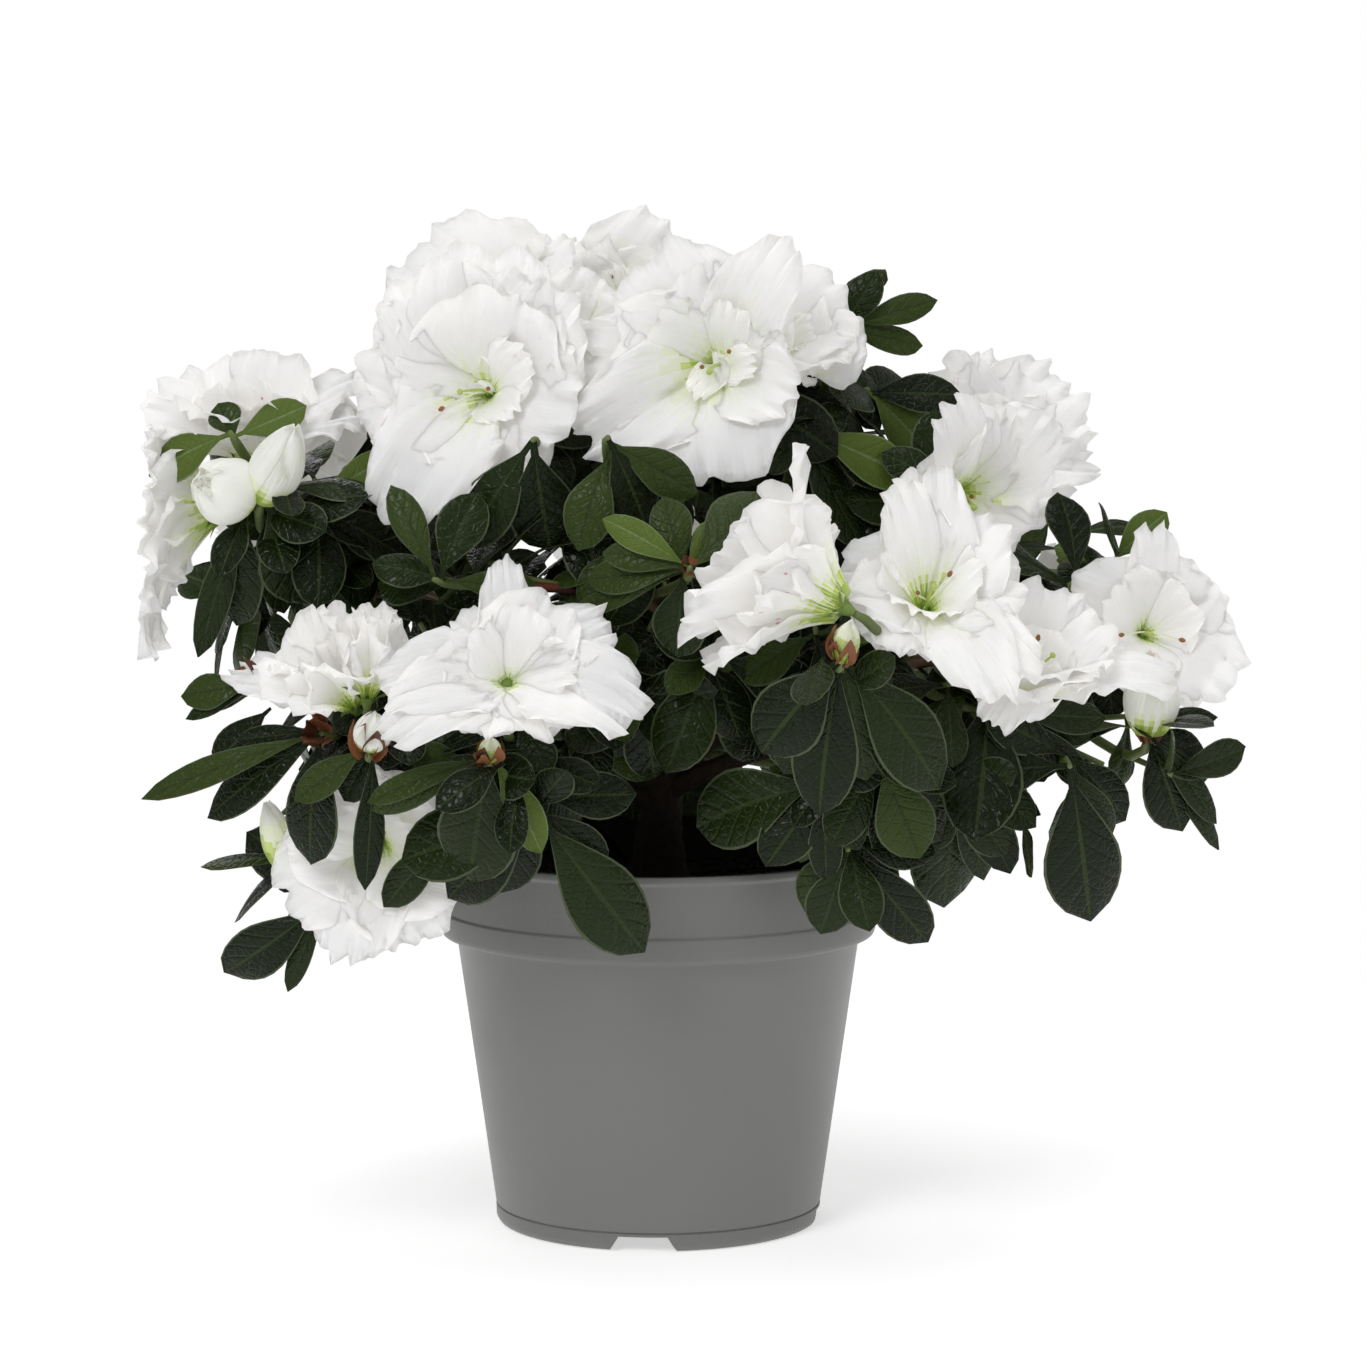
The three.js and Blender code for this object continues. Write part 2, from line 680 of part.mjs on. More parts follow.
// Leafy twigs set round the hub, each looking out from the middle of the crown.
function fillerHeads(mass, draw) {
  const hub = new Vector3(...mass.hub);
  const outward = hub.clone().sub(new Vector3(...crownMiddle)).normalize();
  return Array.from({ length: mass.fillers }, () => {
    const sway = new Vector3(draw() - 0.5, draw() - 0.5, draw() - 0.5).multiplyScalar(2);
    const aim = outward.clone().add(sway).normalize();
    const spot = along(hub, aim, mass.spread * lerp(filler.near, 1, draw()));
    const leaves = filler.leaves + Math.floor(filler.moreLeaves * draw());
    return { at: spot.toArray(), aim, leaves, reach: filler.reach };
  });
}

// ---- Growing the masses ----

const placed = []; // every solid so far, with the node that owns it and its box

function boxOf(solid) {
  const { min, max } = solid.boundingBox();
  return new THREE.Box3(new Vector3(...min), new Vector3(...max));
}

function place(owner, solid) {
  placed.push({ owner, solid, box: boxOf(solid) });
  return solid;
}

const meets = (solid, box, other) => other.box.intersectsBox(box) && !other.solid.intersect(solid).isEmpty();

// Keeps the solid for its owner if the same shape, grown by the gap, is clear of the other nodes.
function keepIfClear(owner, kept, make) {
  const grown = make(GAP);
  const box = boxOf(grown);
  if (placed.some((other) => other.owner !== owner && meets(grown, box, other))) return false;
  kept.push(place(owner, make(0)));
  return true;
}

const nodes = [];
const addNode = (name, solid, material) => nodes.push({ name, solid, material });

const finishes = {
  pot: new THREE.MeshStandardMaterial({ color: 0x787977, roughness: 0.42, metalness: 0 }),
  soil: new THREE.MeshStandardMaterial({ color: 0x1d1511, roughness: 0.95, metalness: 0 }),
  bark: new THREE.MeshStandardMaterial({ color: 0x5c4534, roughness: 0.85, metalness: 0 }),
  foliage: new THREE.MeshStandardMaterial({ color: 0x2b4622, roughness: 0.5, metalness: 0 }),
};

addNode("pot", place("pot", makePot()), finishes.pot);
addNode("soil", place("soil", makeSoil()), finishes.soil);
addNode("trunk", place("trunk", makeTrunk()), finishes.bark);

// The boughs, each cut clear of the trunk and of those before it.
let taken = makeTrunk(GAP);
for (const mass of masses) {
  const name = mass.name.replace("mass", "bough");
  mass.curve = boughCurve(mass);
  const shape = (extra) => {
    const [footRadius, tipRadius] = [bough.footRadius + extra, bough.tipRadius + extra];
    return limb(mass.curve, 0, bough.share, footRadius, tipRadius, bough.sides, bough.steps);
  };
  addNode(name, place(name, largest(shape(0).subtract(taken))), finishes.bark);
  taken = taken.add(shape(GAP));
}

// Stems, twigs, blooms and buds of every mass come first, so that leaves give way to them.
masses.forEach((mass, index) => {
  const { curve, name } = mass;
  const foot = bough.share + GAP / curve.getLength();
  mass.kept = [place(name, limb(curve, foot, 1, bough.tipRadius, stem.tipRadius, stem.sides, stem.steps))];
  mass.ruffs = [];
  const heads = [...mass.heads, ...fillerHeads(mass, randomStream(1000 + index))];
  heads.forEach((head, number) => {
    const draw = randomStream(100 * index + number);
    const aim = head.aim ?? facing(head.face);
    const phase = draw() * 2 * Math.PI;
    const end = along(new Vector3(...head.at), aim, head.bloom ? -bloomSeat.depth * head.bloom : 0);
    const fork = lerp(twig.firstFork, twig.lastFork, number / (heads.length - 1));
    const line = twigCurve(curve.getPointAt(fork), curve.getTangentAt(fork), end, aim);
    const grew = keepIfClear(name, mass.kept, (grow) =>
      limb(line, 0, 1, twig.footRadius + grow, twig.tipRadius + grow, twig.sides, twig.steps),
    );
    if (!grew) return;
    const shoot = end.clone().sub(line.getPointAt(1 - 1 / twig.steps)).normalize();
    const tip = along(end, shoot, head.bloom ? -bloomSeat.stalk : 0);
    mass.ruffs.push({ ...head, tip, shoot, aim, phase, draw });
    if (head.bud) keepIfClear(name, mass.kept, (grow) => budSolid(end, aim, head.bud, grow));
    if (head.bloom) keepIfClear(name, mass.kept, (grow) => corollaSolid(end, aim, phase, head, grow));
  });
});

// Then the stated leaves.
for (const mass of masses) {
  mass.blades = mass.kept.map((solid) => ({ solid, box: boxOf(solid) }));
  for (const ruff of mass.ruffs) {
    (ruff.fan ?? []).forEach((_, k) => {
      const plan = fanLeaf(ruff, k);
      if (!keepIfClear(mass.name, mass.kept, (grow) => leafSolid(plan, grow))) return;
      mass.blades.push({ solid: leafSolid(plan), box: boxOf(leafSolid(plan)) });
    });
  }
}

// Then those of the seeded rule. Each stays in its mass's room, and clear of the blades beside it too.
for (const mass of masses) {
  const hub = new Vector3(...mass.hub);
  const reach = room + Math.max(...mass.heads.map((head) => hub.distanceTo(new Vector3(...head.at))));
  const grows = (plan) => {
    const solid = leafSolid(plan, 0, leaf.clear);
    const box = boxOf(solid);
    if (along(plan.root, plan.set, plan.length).distanceTo(hub) > reach) return false;
    if (mass.blades.some((blade) => meets(solid, box, blade))) return false;
    if (!keepIfClear(mass.name, mass.kept, (grow) => leafSolid(plan, grow))) return false;
    mass.blades.push({ solid, box });
    return true;
  };
  for (const ruff of mass.ruffs) {
    for (let k = 0; k < ruff.leaves; k++) {
      for (let tries = 0; tries < leaf.tries; tries++) {
        if (grows(ruffLeaf(ruff, k, tries * leaf.tryTurn))) break;
      }
    }
  }
  addNode(mass.name, largest(wasm.Manifold.union(mass.kept)).simplify(MERGE), finishes.foliage);
}

// ---- The shrub as a scene graph ----

const shrub = new THREE.Group();
for (const { name, solid, material } of nodes) {
  const mesh = new THREE.Mesh(geometryOf(solid), material);
  mesh.name = name;
  shrub.add(mesh);
}

export default shrub;
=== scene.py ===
# A white double azalea in flower in its nursery pot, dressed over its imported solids.
import math

import bpy
import numpy as np
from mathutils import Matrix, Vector, noise
from mathutils.kdtree import KDTree


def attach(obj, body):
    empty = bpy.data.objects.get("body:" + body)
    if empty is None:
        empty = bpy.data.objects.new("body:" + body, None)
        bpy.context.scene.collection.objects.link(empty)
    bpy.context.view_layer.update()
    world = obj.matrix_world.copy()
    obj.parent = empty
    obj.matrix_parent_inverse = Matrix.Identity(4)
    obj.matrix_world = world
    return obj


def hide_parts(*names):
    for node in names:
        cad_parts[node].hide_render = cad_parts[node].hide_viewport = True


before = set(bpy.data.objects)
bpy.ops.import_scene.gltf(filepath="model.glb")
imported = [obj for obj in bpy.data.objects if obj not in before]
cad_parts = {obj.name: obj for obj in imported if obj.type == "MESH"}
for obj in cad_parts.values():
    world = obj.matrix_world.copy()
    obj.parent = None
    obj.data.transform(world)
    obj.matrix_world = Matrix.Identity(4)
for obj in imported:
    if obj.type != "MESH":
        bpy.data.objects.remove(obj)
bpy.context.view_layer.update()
print("frame loaded:", len(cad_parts), "nodes")

# Lengths are in millimetres until a mesh is made, and -Y is the front of the plant.
mm = 0.001
up = np.array([0.0, 0.0, 1.0])
fullTurn = 2 * math.pi
gap = 0.3  # between touching solids

# the pot and the soil that the plant stands in
pot = {
    "height": 102.2, "rimRadius": 60.0, "rimWall": 2.0, "lipHeight": 1.8, "wall": 1.3,
    "collarHeight": 23.8, "collarBand": 7.4, "collarStep": 4.2, "bodyTopRadius": 54.5,
    "footRadius": 44.2, "ringHeight": 4.9, "ringWidth": 5.5, "padRadius": 21.0, "channelDepth": 4.2,
    "notches": 4, "notchTurn": -5.0, "notchWidth": 17.6, "notchTopWidth": 13.0, "sides": 192,
    "sharpOver": 34,  # degrees between faces that show as an edge
}
soil = {"depthBelowRim": 9.0, "crown": 2.5, "relief": 1.4, "crumbs": 1500, "fibres": 70}
soilTop = pot["height"] - soil["depthBelowRim"]

# the limbs and the leaves, as the solids have them
trunk = {"height": 46.0, "footRadius": 9.5, "neckRadius": 6.2, "tipRadius": 4.2, "flare": 7.0, "lean": 5.0}
bough = {"footRadius": 2.9, "tipRadius": 2.0, "share": 0.58, "rise": 6.0, "arch": 0.1}
forks = {"lowest": 0.34, "highest": 0.92, "lowestHub": 110.0, "highestHub": 200.0}
stem = {"tipRadius": 1.5, "rings": 12, "sides": 9}
twig = {"footRadius": 1.2, "tipRadius": 1.35, "firstFork": 0.66, "lastFork": 0.98, "bend": 0.36,
        "rings": 14, "sides": 8, "brownBands": 6}
leaf = {
    "length": 37.0, "vary": 0.14, "shorten": 0.3, "width": 0.5, "thickness": 0.36, "curl": 26.0, "sag": 0.26,
    "start": 0.3, "spacing": 1.3, "lowTilt": 92.0, "highTilt": 48.0, "tiltVary": 9.0, "turn": 137.5,
    "tries": 4, "tryTurn": 0.4,
}
bloomSeat = {"depth": 0.35, "stalk": 7.0}
filler = {"near": 0.55, "leaves": 5, "moreLeaves": 2, "reach": 0.9}
crownMiddle = np.array([4.0, 0.0, 128.0])
masses = {}


# a mass of foliage: where its stem ends, how many seeded shoots it has and how far they spread, and its heads
def addMass(name, hub, fillers, spread, heads):
    masses[name] = dict(hub=np.array(hub, float), fillers=fillers, spread=spread, heads=heads)


# a shoot's head: its place, the turn and rise that it faces, and the leaves of its ruff
def headAt(at, face, leaves, **more):
    return dict(at=at, face=face, leaves=leaves, **more)


def bloomAt(at, face, leaves, size, openness=1, **more):
    return headAt(at, face, leaves, bloom=size, openness=openness, **more)


# The same table as the solids', with what only shows from close to. A stated petal has the degrees clockwise
# round the bloom from upright, its length, its width and its direction at the rim. A stated leaf has the
# degrees clockwise from upright as seen from the front, its length, its width and its tint.
addMass("left_upper", (-76, -28, 178), 1, 32, [
    bloomAt((-105, -40, 223), (-10, 68), 2, 50, openness=0.95, green=0.5,
        petals=[(180, 27, 24, 24), (218, 28, 22, 48), (250, 31, 24, 74), (290, 32, 24, 78), (335, 27, 26, 45),
        (20, 28, 26, 34), (68, 33, 17, 68), (104, 35, 15, 88), (146, 25, 22, 40)]),
    bloomAt((-133, -44, 196), (-90, 0), 3, 58,
        petals=[(0, 25, 26, 62), (52, 27, 26, 72), (98, 28, 26, 70), (142, 32, 24, 80), (178, 40, 22, 92),
        (222, 30, 26, 74), (268, 28, 26, 74), (318, 26, 26, 66), (80, 18, 18, 40), (190, 20, 18, 44)]),
    headAt((-106, -62, 200), (-38, 22), 1, bud=18, opening=0.7, tall=0.95, green=0.7, scales=5,
        fan=[(191, 34, 16), (200, 43, 9)]),
    headAt((-100, -64, 201), (40, 52), 1, bud=14, opening=0.14, tall=1.75, green=0.7, scales=7, scaleSize=7,
        fan=[(153, 31, 20), (168, 32, 12)]),
    headAt((-109, -58, 217), (-20, 40), 0,
        fan=[(252, 25, 12, "leafFresh"), (66, 20, 11, "leafFresh"), (335, 11, 9)]),
    headAt((-88, -55, 199), (20, 10), 3, fan=[(55, 27, 9, "leafFresh"), (118, 26, 12)]),
])
addMass("top_left", (-30, -14, 198), 1, 32, [
    bloomAt((-47, -66, 231), (-10, 12), 3, 68, green=0.62, flecks=1.4,
        petals=[(257, 34, 29, 88), (290, 33, 28, 86), (326, 36, 29, 88), (2, 38, 33, 86), (38, 34, 30, 84),
        (98, 29, 31, 80), (166, 31, 27, 92), (208, 44, 24, 94), (14, 29, 31, 62), (286, 25, 26, 66),
        (64, 21, 15, 52), (130, 18, 13, 48), (240, 17, 9, 74), (186, 19, 17, 66)]),
    bloomAt((-42, -36, 252), (-12, 44), 3, 56),
    bloomAt((-9, -15, 253), (5, 30), 2, 44, green=0.9, flecks=1.6),
    bloomAt((-20, -44, 240), (12, 14), 1, 38),
    headAt((-31, -76, 216), (-6, 8), 1, fan=[(173, 32, 18), (216, 34, 15)]),
])
addMass("top_right", (24, -12, 196), 1, 32, [
    bloomAt((14, -66, 237), (-8, 10), 3, 62, green=0.85, flecks=1.6,
        petals=[(272, 36, 28, 88), (232, 33, 30, 84), (238, 42, 22, 98), (170, 35, 29, 84), (326, 33, 30, 88),
        (2, 27, 27, 80), (33, 38, 17, 84), (60, 22, 22, 62), (120, 27, 20, 70), (300, 22, 22, 62),
        (214, 17, 7, 46), (92, 17, 9, 40), (20, 20, 13, 52)]),
    bloomAt((33, -44, 245), (16, 36), 2, 46, openness=0.85),
    headAt((50, -14, 243), (30, 24), 1,
        fan=[(72, 26, 8, "leafMid"), (95, 22, 9), (350, 12, 6, "leafFresh"), (222, 18, 12)]),
    headAt((56, -12, 226), (50, 20), 2, fan=[(128, 26, 14, "leafFresh"), (88, 27, 12)]),
    headAt((38, -40, 217), (24, 20), 2, fan=[(110, 36, 14, "leafFresh"), (176, 24, 12, "leafMid"), (62, 15, 9)]),
])
addMass("centre", (-6, -58, 176), 0, 30, [
    headAt((8.5, -104, 186), (0, 22), 1, scales=4, scaleSize=4.5, tint="leafMid",
        fan=[(304, 25, 8, "leafFresh"), (287, 22, 8), (267, 27, 10), (252, 34, 6), (342, 20, 11),
        (38, 16, 9, "leafFresh"), (188, 22, 14, "leafDark")]),
    headAt((-12, -84, 217), (6, 8), 1, fan=[(152, 26, 14), (116, 27, 12)]),
    headAt((-56, -80, 181), (-20, 14), 2, fan=[(335, 27, 9, "leafMid"), (18, 24, 13), (94, 25, 9, "leafMid")]),
    headAt((-4, -66, 152), (0, -4), 2, fan=[(172, 28, 14), (222, 27, 14), (128, 26, 13)]),
    headAt((-14, -70, 166), (-10, 4), 5),
    headAt((16, -74, 160), (14, 4), 5),
])
addMass("right_front", (42, -62, 164), 0, 26, [
    bloomAt((28, -100, 185), (-105, 25), 0, 60, openness=0.9, green=0.55, flecks=2,
        petals=[(88, 34, 31, 38), (146, 38, 30, 48), (196, 36, 28, 60), (30, 32, 29, 44), (350, 39, 19, 62),
        (292, 30, 28, 60), (244, 30, 28, 62), (112, 24, 22, 60), (10, 20, 20, 50)]),
    bloomAt((69, -95, 185), (5, 40), 2, 54, flecks=2.2,
        petals=[(330, 33, 15, 46), (0, 34, 19, 58), (48, 27, 24, 74), (92, 25, 26, 82), (158, 42, 17, 104),
        (140, 37, 15, 108), (196, 24, 28, 86), (270, 25, 24, 76), (236, 24, 24, 84), (330, 19, 19, 44),
        (70, 19, 19, 48), (200, 17, 17, 48)]),
    bloomAt((98, -80, 166), (25, 52), 2, 56, openness=0.9, green=0.5,
        petals=[(112, 37, 14, 98), (80, 26, 25, 52), (180, 24, 27, 46), (262, 30, 25, 84), (228, 30, 15, 100),
        (322, 25, 23, 58), (24, 27, 25, 50), (140, 24, 24, 52), (200, 16, 18, 24), (40, 17, 18, 26)]),
    headAt((45.6, -116, 165), (18, 55), 0, bud=7, opening=0.1, tall=1.8, green=2.2, scales=9, scaleSize=8.5,
        fan=[(224, 34, 19), (192, 42, 17), (166, 33, 15), (135, 44, 19), (148, 36, 9)]),
])
addMass("right_back", (68, -2, 182), 1, 30, [
    bloomAt((84, -48, 199), (25, -5), 2, 40, openness=0.9,
        petals=[(334, 33, 19, 74), (4, 29, 13, 66), (36, 30, 20, 76), (84, 20, 22, 80), (130, 20, 22, 84),
        (200, 18, 20, 84), (262, 22, 20, 82)]),
    bloomAt((93, 6, 211), (40, 24), 3, 50, openness=0.9, whorls=1,
        petals=[(66, 37, 26, 84), (98, 38, 21, 92), (20, 29, 26, 80), (332, 29, 26, 82), (284, 26, 24, 84),
        (0, 20, 22, 54), (60, 20, 20, 54), (200, 22, 22, 74)], fan=[(322, 17, 11, "leafFresh")]),
    headAt((124, 0, 179), (60, 30), 3,
        fan=[(278, 16, 7, "leafFresh"), (44, 20, 10, "leafFresh"), (292, 15, 8, "leafFresh")]),
])
addMass("right_end", (98, -18, 156), 1, 28, [
    bloomAt((131, -40, 166), (12, 16), 2, 46, green=0.5,
        petals=[(356, 29, 13, 74), (292, 27, 25, 82), (250, 26, 24, 82), (40, 22, 23, 76), (84, 22, 24, 80),
        (128, 27, 22, 92), (170, 24, 22, 88), (320, 20, 22, 56), (210, 18, 18, 52), (60, 17, 18, 52)],
        fan=[(98, 24, 12)]),
    headAt((127, -56, 140), (8, 78), 0, bud=14.5, opening=0.2, tall=1.55, green=0.6, blush=True, scales=8, scaleSize=9,
        fan=[(158, 30, 15), (136, 34, 8), (142, 43, 6), (116, 23, 14), (72, 24, 6)]),
    headAt((105, -75, 133), (10, 0), 1, fan=[(170, 46, 21), (148, 26, 9)]),
])
addMass("left_front", (-58, -58, 152), 0, 26, [
    bloomAt((-84, -92, 162), (-42, 48), 1, 48, openness=0.62,
        petals=[(176, 24, 22, 26), (222, 24, 20, 48), (262, 32, 11, 92), (308, 23, 21, 50), (350, 25, 22, 30),
        (34, 25, 20, 24), (118, 23, 19, 16), (78, 23, 19, 16)]),
    bloomAt((-71, -94, 161), (20, 70), 0, 26, openness=0.35, flecks=0.2,
        petals=[(20, 22, 13, 13), (92, 22, 13, 11), (164, 22, 14, 10), (236, 22, 13, 12), (308, 22, 13, 12)]),
    headAt((-84, -88, 143), (-20, 20), 1, scales=7, fan=[(254, 50, 8, "leafMid"), (241, 40, 12), (266, 26, 6)]),
    headAt((-71, -97, 141), (20, 60), 0, bud=9.5, green=0.5, tall=1.15, scales=10, scaleSize=10,
        fan=[(236, 25, 9), (181, 38, 8), (212, 18, 10)]),
    headAt((-102, -74, 154), (-50, 40), 2, scales=4, scaleSize=8, fan=[(264, 21, 10), (252, 22, 5)]),
])
addMass("centre_front", (-30, -66, 148), 0, 26, [
    bloomAt((-36, -108, 165), (5, 58), 0, 60, stamens=False, green=0.35, flecks=0.5, turned=(4, 36), raised=9,
        petals=[(357, 29, 11, 76), (320, 20, 13, 70), (34, 23, 21, 66), (68, 29, 16, 84), (256, 33, 19, 106),
        (238, 37, 17, 112), (180, 19, 27, 98), (118, 37, 21, 108), (142, 23, 19, 98), (208, 22, 19, 96),
        (14, 19, 16, 52), (325, 16, 13, 50), (95, 20, 15, 70)]),
    headAt((-41, -110, 139.5), (10, 50), 0, bud=5.5, green=2.2, tall=1.5, scales=8, scaleSize=8,
        fan=[(256, 34, 7, "leafMid"), (250, 37, 9, "leafMid"), (194, 36, 21, "leafDark"),
        (151, 28, 10, "leafFresh")]),
    headAt((-29, -98, 123), (8, -6), 1, fan=[(143, 47, 20), (230, 35, 17), (128, 24, 10)]),
])
addMass("left_low", (-60, -34, 122), 1, 28, [
    bloomAt((-72, -84, 112), (-5, -4), 2, 48, green=0.8,
        petals=[(278, 24, 23, 84), (238, 28, 25, 88), (194, 31, 21, 94), (154, 28, 24, 90), (104, 25, 25, 84),
        (52, 25, 24, 84), (14, 23, 23, 80), (326, 24, 24, 82), (186, 18, 17, 58), (70, 17, 16, 50),
        (300, 17, 17, 54)]),
    headAt((-95, -70, 107), (-30, 66), 2, bud=8.5, opening=0.3, tall=2.4, green=1.8),
    headAt((-85, -70, 97), (-20, -20), 0, fan=[(232, 37, 14), (209, 28, 6), (222, 20, 5)]),
    headAt((-52, -88, 118), (-10, -10), 0, fan=[(222, 27, 10)]),
    headAt((-84, -4, 108), (-100, -10), 6),
])
addMass("right_low", (58, -40, 132), 0, 26, [
    headAt((48.6, -78, 112), (0, -10), 0, fan=[(197, 26, 13), (174, 20, 10), (143, 37, 14)]),
    headAt((42, -84, 130), (-10, -6), 1, fan=[(178, 28, 9), (212, 27, 14), (196, 24, 13)]),
    headAt((56, -92, 136), (4, 0), 1, fan=[(155, 27, 16), (139, 27, 15)]),
    headAt((78, -70, 132), (14, -4), 2, fan=[(157, 31, 12), (168, 34, 9), (122, 26, 7)]),
    headAt((92, -72, 147), (0, 10), 1, fan=[(158, 22, 14), (131, 29, 8), (92, 27, 10)]),
    headAt((92, -24, 122), (70, -6), 5),
])
addMass("back_left", (-66, 42, 168), 3, 40, [
    bloomAt((-104, 54, 196), (-120, 34), 4, 60),
    bloomAt((-70, 82, 184), (-148, 24), 4, 58),
    headAt((-116, 14, 170), (-95, 10), 5),
])
addMass("back_top", (-4, 26, 194), 1, 36, [
    bloomAt((-26, 28, 245), (-150, 60), 4, 60),
    bloomAt((30, 38, 240), (145, 52), 5, 62),
    headAt((-2, 62, 222), (-178, 40), 6),
])
addMass("back_middle", (4, 66, 158), 2, 38, [
    bloomAt((-4, 108, 176), (-176, 22), 5, 62),
    headAt((-36, 104, 150), (-160, 0), 5),
    headAt((30, 96, 140), (165, -6), 5),
])
addMass("back_right", (68, 46, 160), 3, 38, [
    bloomAt((84, 78, 186), (138, 32), 4, 60),
    bloomAt((114, 48, 156), (108, 10), 4, 50, openness=0.9),
])
addMass("back_low", (-12, 44, 124), 3, 34, [
    bloomAt((-44, 78, 118), (-145, -10), 4, 48, openness=0.95),
    headAt((10, 84, 110), (172, -18), 5),
    headAt((52, 66, 112), (135, -14), 5),
    headAt((-76, 46, 112), (-118, -14), 5),
])


# a repeatable stream of numbers from 0 to 1, the same as the solids' own
def randomStream(seed):
    state = [seed & 0xFFFFFFFF]

    def draw():
        state[0] = (state[0] + 0x6D2B79F5) & 0xFFFFFFFF
        t = state[0]
        t = ((t ^ (t >> 15)) * (t | 1)) & 0xFFFFFFFF
        t ^= (t + (((t ^ (t >> 7)) * (t | 61)) & 0xFFFFFFFF)) & 0xFFFFFFFF
        return (t ^ (t >> 14)) / 4294967296

    return draw


def lerp(a, b, t):
    return a + (b - a) * t


def smooth(t):
    t = np.clip(t, 0, 1)
    return t * t * (3 - 2 * t)


def unit(vector):
    return vector / np.linalg.norm(vector)


def facing(face):
    turn, rise = np.radians(face)
    return np.array([math.sin(turn) * math.cos(rise), -math.cos(turn) * math.cos(rise), math.sin(rise)])


# what is left of a vector at right angles to a direction
def acrossFrom(direction, vector):
    rest = vector - direction * np.dot(vector, direction)
    if np.dot(rest, rest) > 1e-9:
        return unit(rest)
    return acrossFrom(direction, np.array([1.0, 0.3, 0.0]))


# directions round an axis, by the turn from its upward side
def sidesOf(axis):
    first = acrossFrom(axis, up)
    second = np.cross(axis, first)
    return lambda turn: first * np.cos(turn) + second * np.sin(turn)


def swayOf(draw, much):
    return np.array([draw() - 0.5, draw() - 0.5, draw() - 0.5]) * much


# a Bezier curve with its lengths measured, so that it can be walked by shares of its length
def curveOf(*points):
    curve = {"points": points, "ts": np.linspace(0, 1, 201)}
    steps = np.linalg.norm(np.diff(bezierAt(curve, curve["ts"]), axis=0), axis=1)
    curve["lengths"] = np.concatenate([[0], np.cumsum(steps)])
    return curve


def bezierAt(curve, t):
    t = np.asarray(t, float)[..., None]
    points = curve["points"]
    while len(points) > 1:
        points = [lerp(a, b, t) for a, b in zip(points, points[1:])]
    return points[0]


def timeOf(curve, share):
    return np.interp(np.asarray(share) * curve["lengths"][-1], curve["lengths"], curve["ts"])


def pointAt(curve, share):
    return bezierAt(curve, timeOf(curve, share))


def tangentAt(curve, share):
    t = float(timeOf(curve, share))
    low, high = max(t - 1e-4, 0), min(t + 1e-4, 1)
    return unit(bezierAt(curve, high) - bezierAt(curve, low))


def leanAt(height):
    return trunk["lean"] * (height / trunk["height"]) ** 2


def boughCurve(hub):
    share = (hub[2] - forks["lowestHub"]) / (forks["highestHub"] - forks["lowestHub"])
    height = trunk["height"] * lerp(forks["lowest"], forks["highest"], min(max(share, 0), 1))
    foot = np.array([leanAt(height), 0, soilTop + gap + height])
    middle = (foot + hub) / 2
    middle[2] += bough["rise"] + bough["arch"] * np.linalg.norm(hub - foot)
    return curveOf(foot, middle, hub)


def fillerHeads(mass, draw):
    outward = unit(mass["hub"] - crownMiddle)
    heads = []
    for _ in range(mass["fillers"]):
        aim = unit(outward + swayOf(draw, 2))
        spot = mass["hub"] + aim * mass["spread"] * lerp(filler["near"], 1, draw())
        leaves = filler["leaves"] + int(filler["moreLeaves"] * draw())
        heads.append(headAt(spot, None, leaves, aim=aim, reach=filler["reach"]))
    return heads


def twigCurve(fork, forkDirection, end, aim):
    reach = np.linalg.norm(end - fork) * twig["bend"]
    return curveOf(fork, fork + forkDirection * reach, end - aim * reach, end)


# a leaf's plan: its root, the way it sets out, the side it bends to, its length, width and tint
def leafPlan(ruff, order, setOut, bright, length, width, tint):
    back = -acrossFrom(setOut, bright)
    root = ruff["tip"] - ruff["shoot"] * leaf["spacing"] * (order + 0.5) + setOut * leaf["start"]
    return dict(root=root, set=setOut, back=back, length=length, width=width, tint=tint)


def fanLeaf(ruff, k):
    clock, length, width, *tint = ruff["fan"][k]
    turn = math.radians(clock)
    bright = ruff["aim"] * 0.4 + np.array([0, -1, 0.3])
    setOut = np.array([math.sin(turn), 0, math.cos(turn)])
    return leafPlan(ruff, k, setOut, bright, length, width, tint[0] if tint else ruff.get("tint"))


def ruffLeaf(ruff, k, turnedBy, leaves):
    draw, aim = ruff["draw"], ruff["aim"]
    rank = k / (leaves - 1) if leaves > 1 else 0
    turn = ruff["phase"] + turnedBy + math.radians(leaf["turn"]) * k + (draw() - 0.5) * 0.5
    tilt = math.radians(lerp(leaf["lowTilt"], leaf["highTilt"], rank) + (draw() - 0.5) * 2 * leaf["tiltVary"])
    length = leaf["length"] * ruff.get("reach", 1) * (1 - leaf["shorten"] * rank)
    length *= 1 + (draw() - 0.5) * 2 * leaf["vary"]
    setOut = aim * math.cos(tilt) + sidesOf(aim)(turn) * math.sin(tilt)
    setOut = unit(setOut - up * leaf["sag"] * (0.5 + draw()))
    bright = aim + up * 0.45
    return leafPlan(ruff, leaves - 1 - k, setOut, bright, length, length * leaf["width"], ruff.get("tint"))


# Meshes are gathered as arrays and made into one piece at the end.
def newHeap():
    return {"points": [], "faces": [], "kinds": [], "plans": [], "count": 0}


def addFaces(heap, points, *groups):
    for faces, kinds, plans in groups:
        faces = np.asarray(faces, np.int32)
        heap["faces"].append(faces + heap["count"])
        heap["kinds"].append(np.broadcast_to(np.asarray(kinds, np.int32), (len(faces),)))
        heap["plans"].append(plans if plans is not None else np.zeros((*faces.shape, 2)))
    heap["points"].append(np.asarray(points, float))
    heap["count"] += len(points)


def gridNormals(grid):
    normals = np.cross(np.gradient(grid, axis=1), np.gradient(grid, axis=0))
    return normals / np.maximum(np.linalg.norm(normals, axis=2, keepdims=True), 1e-9)


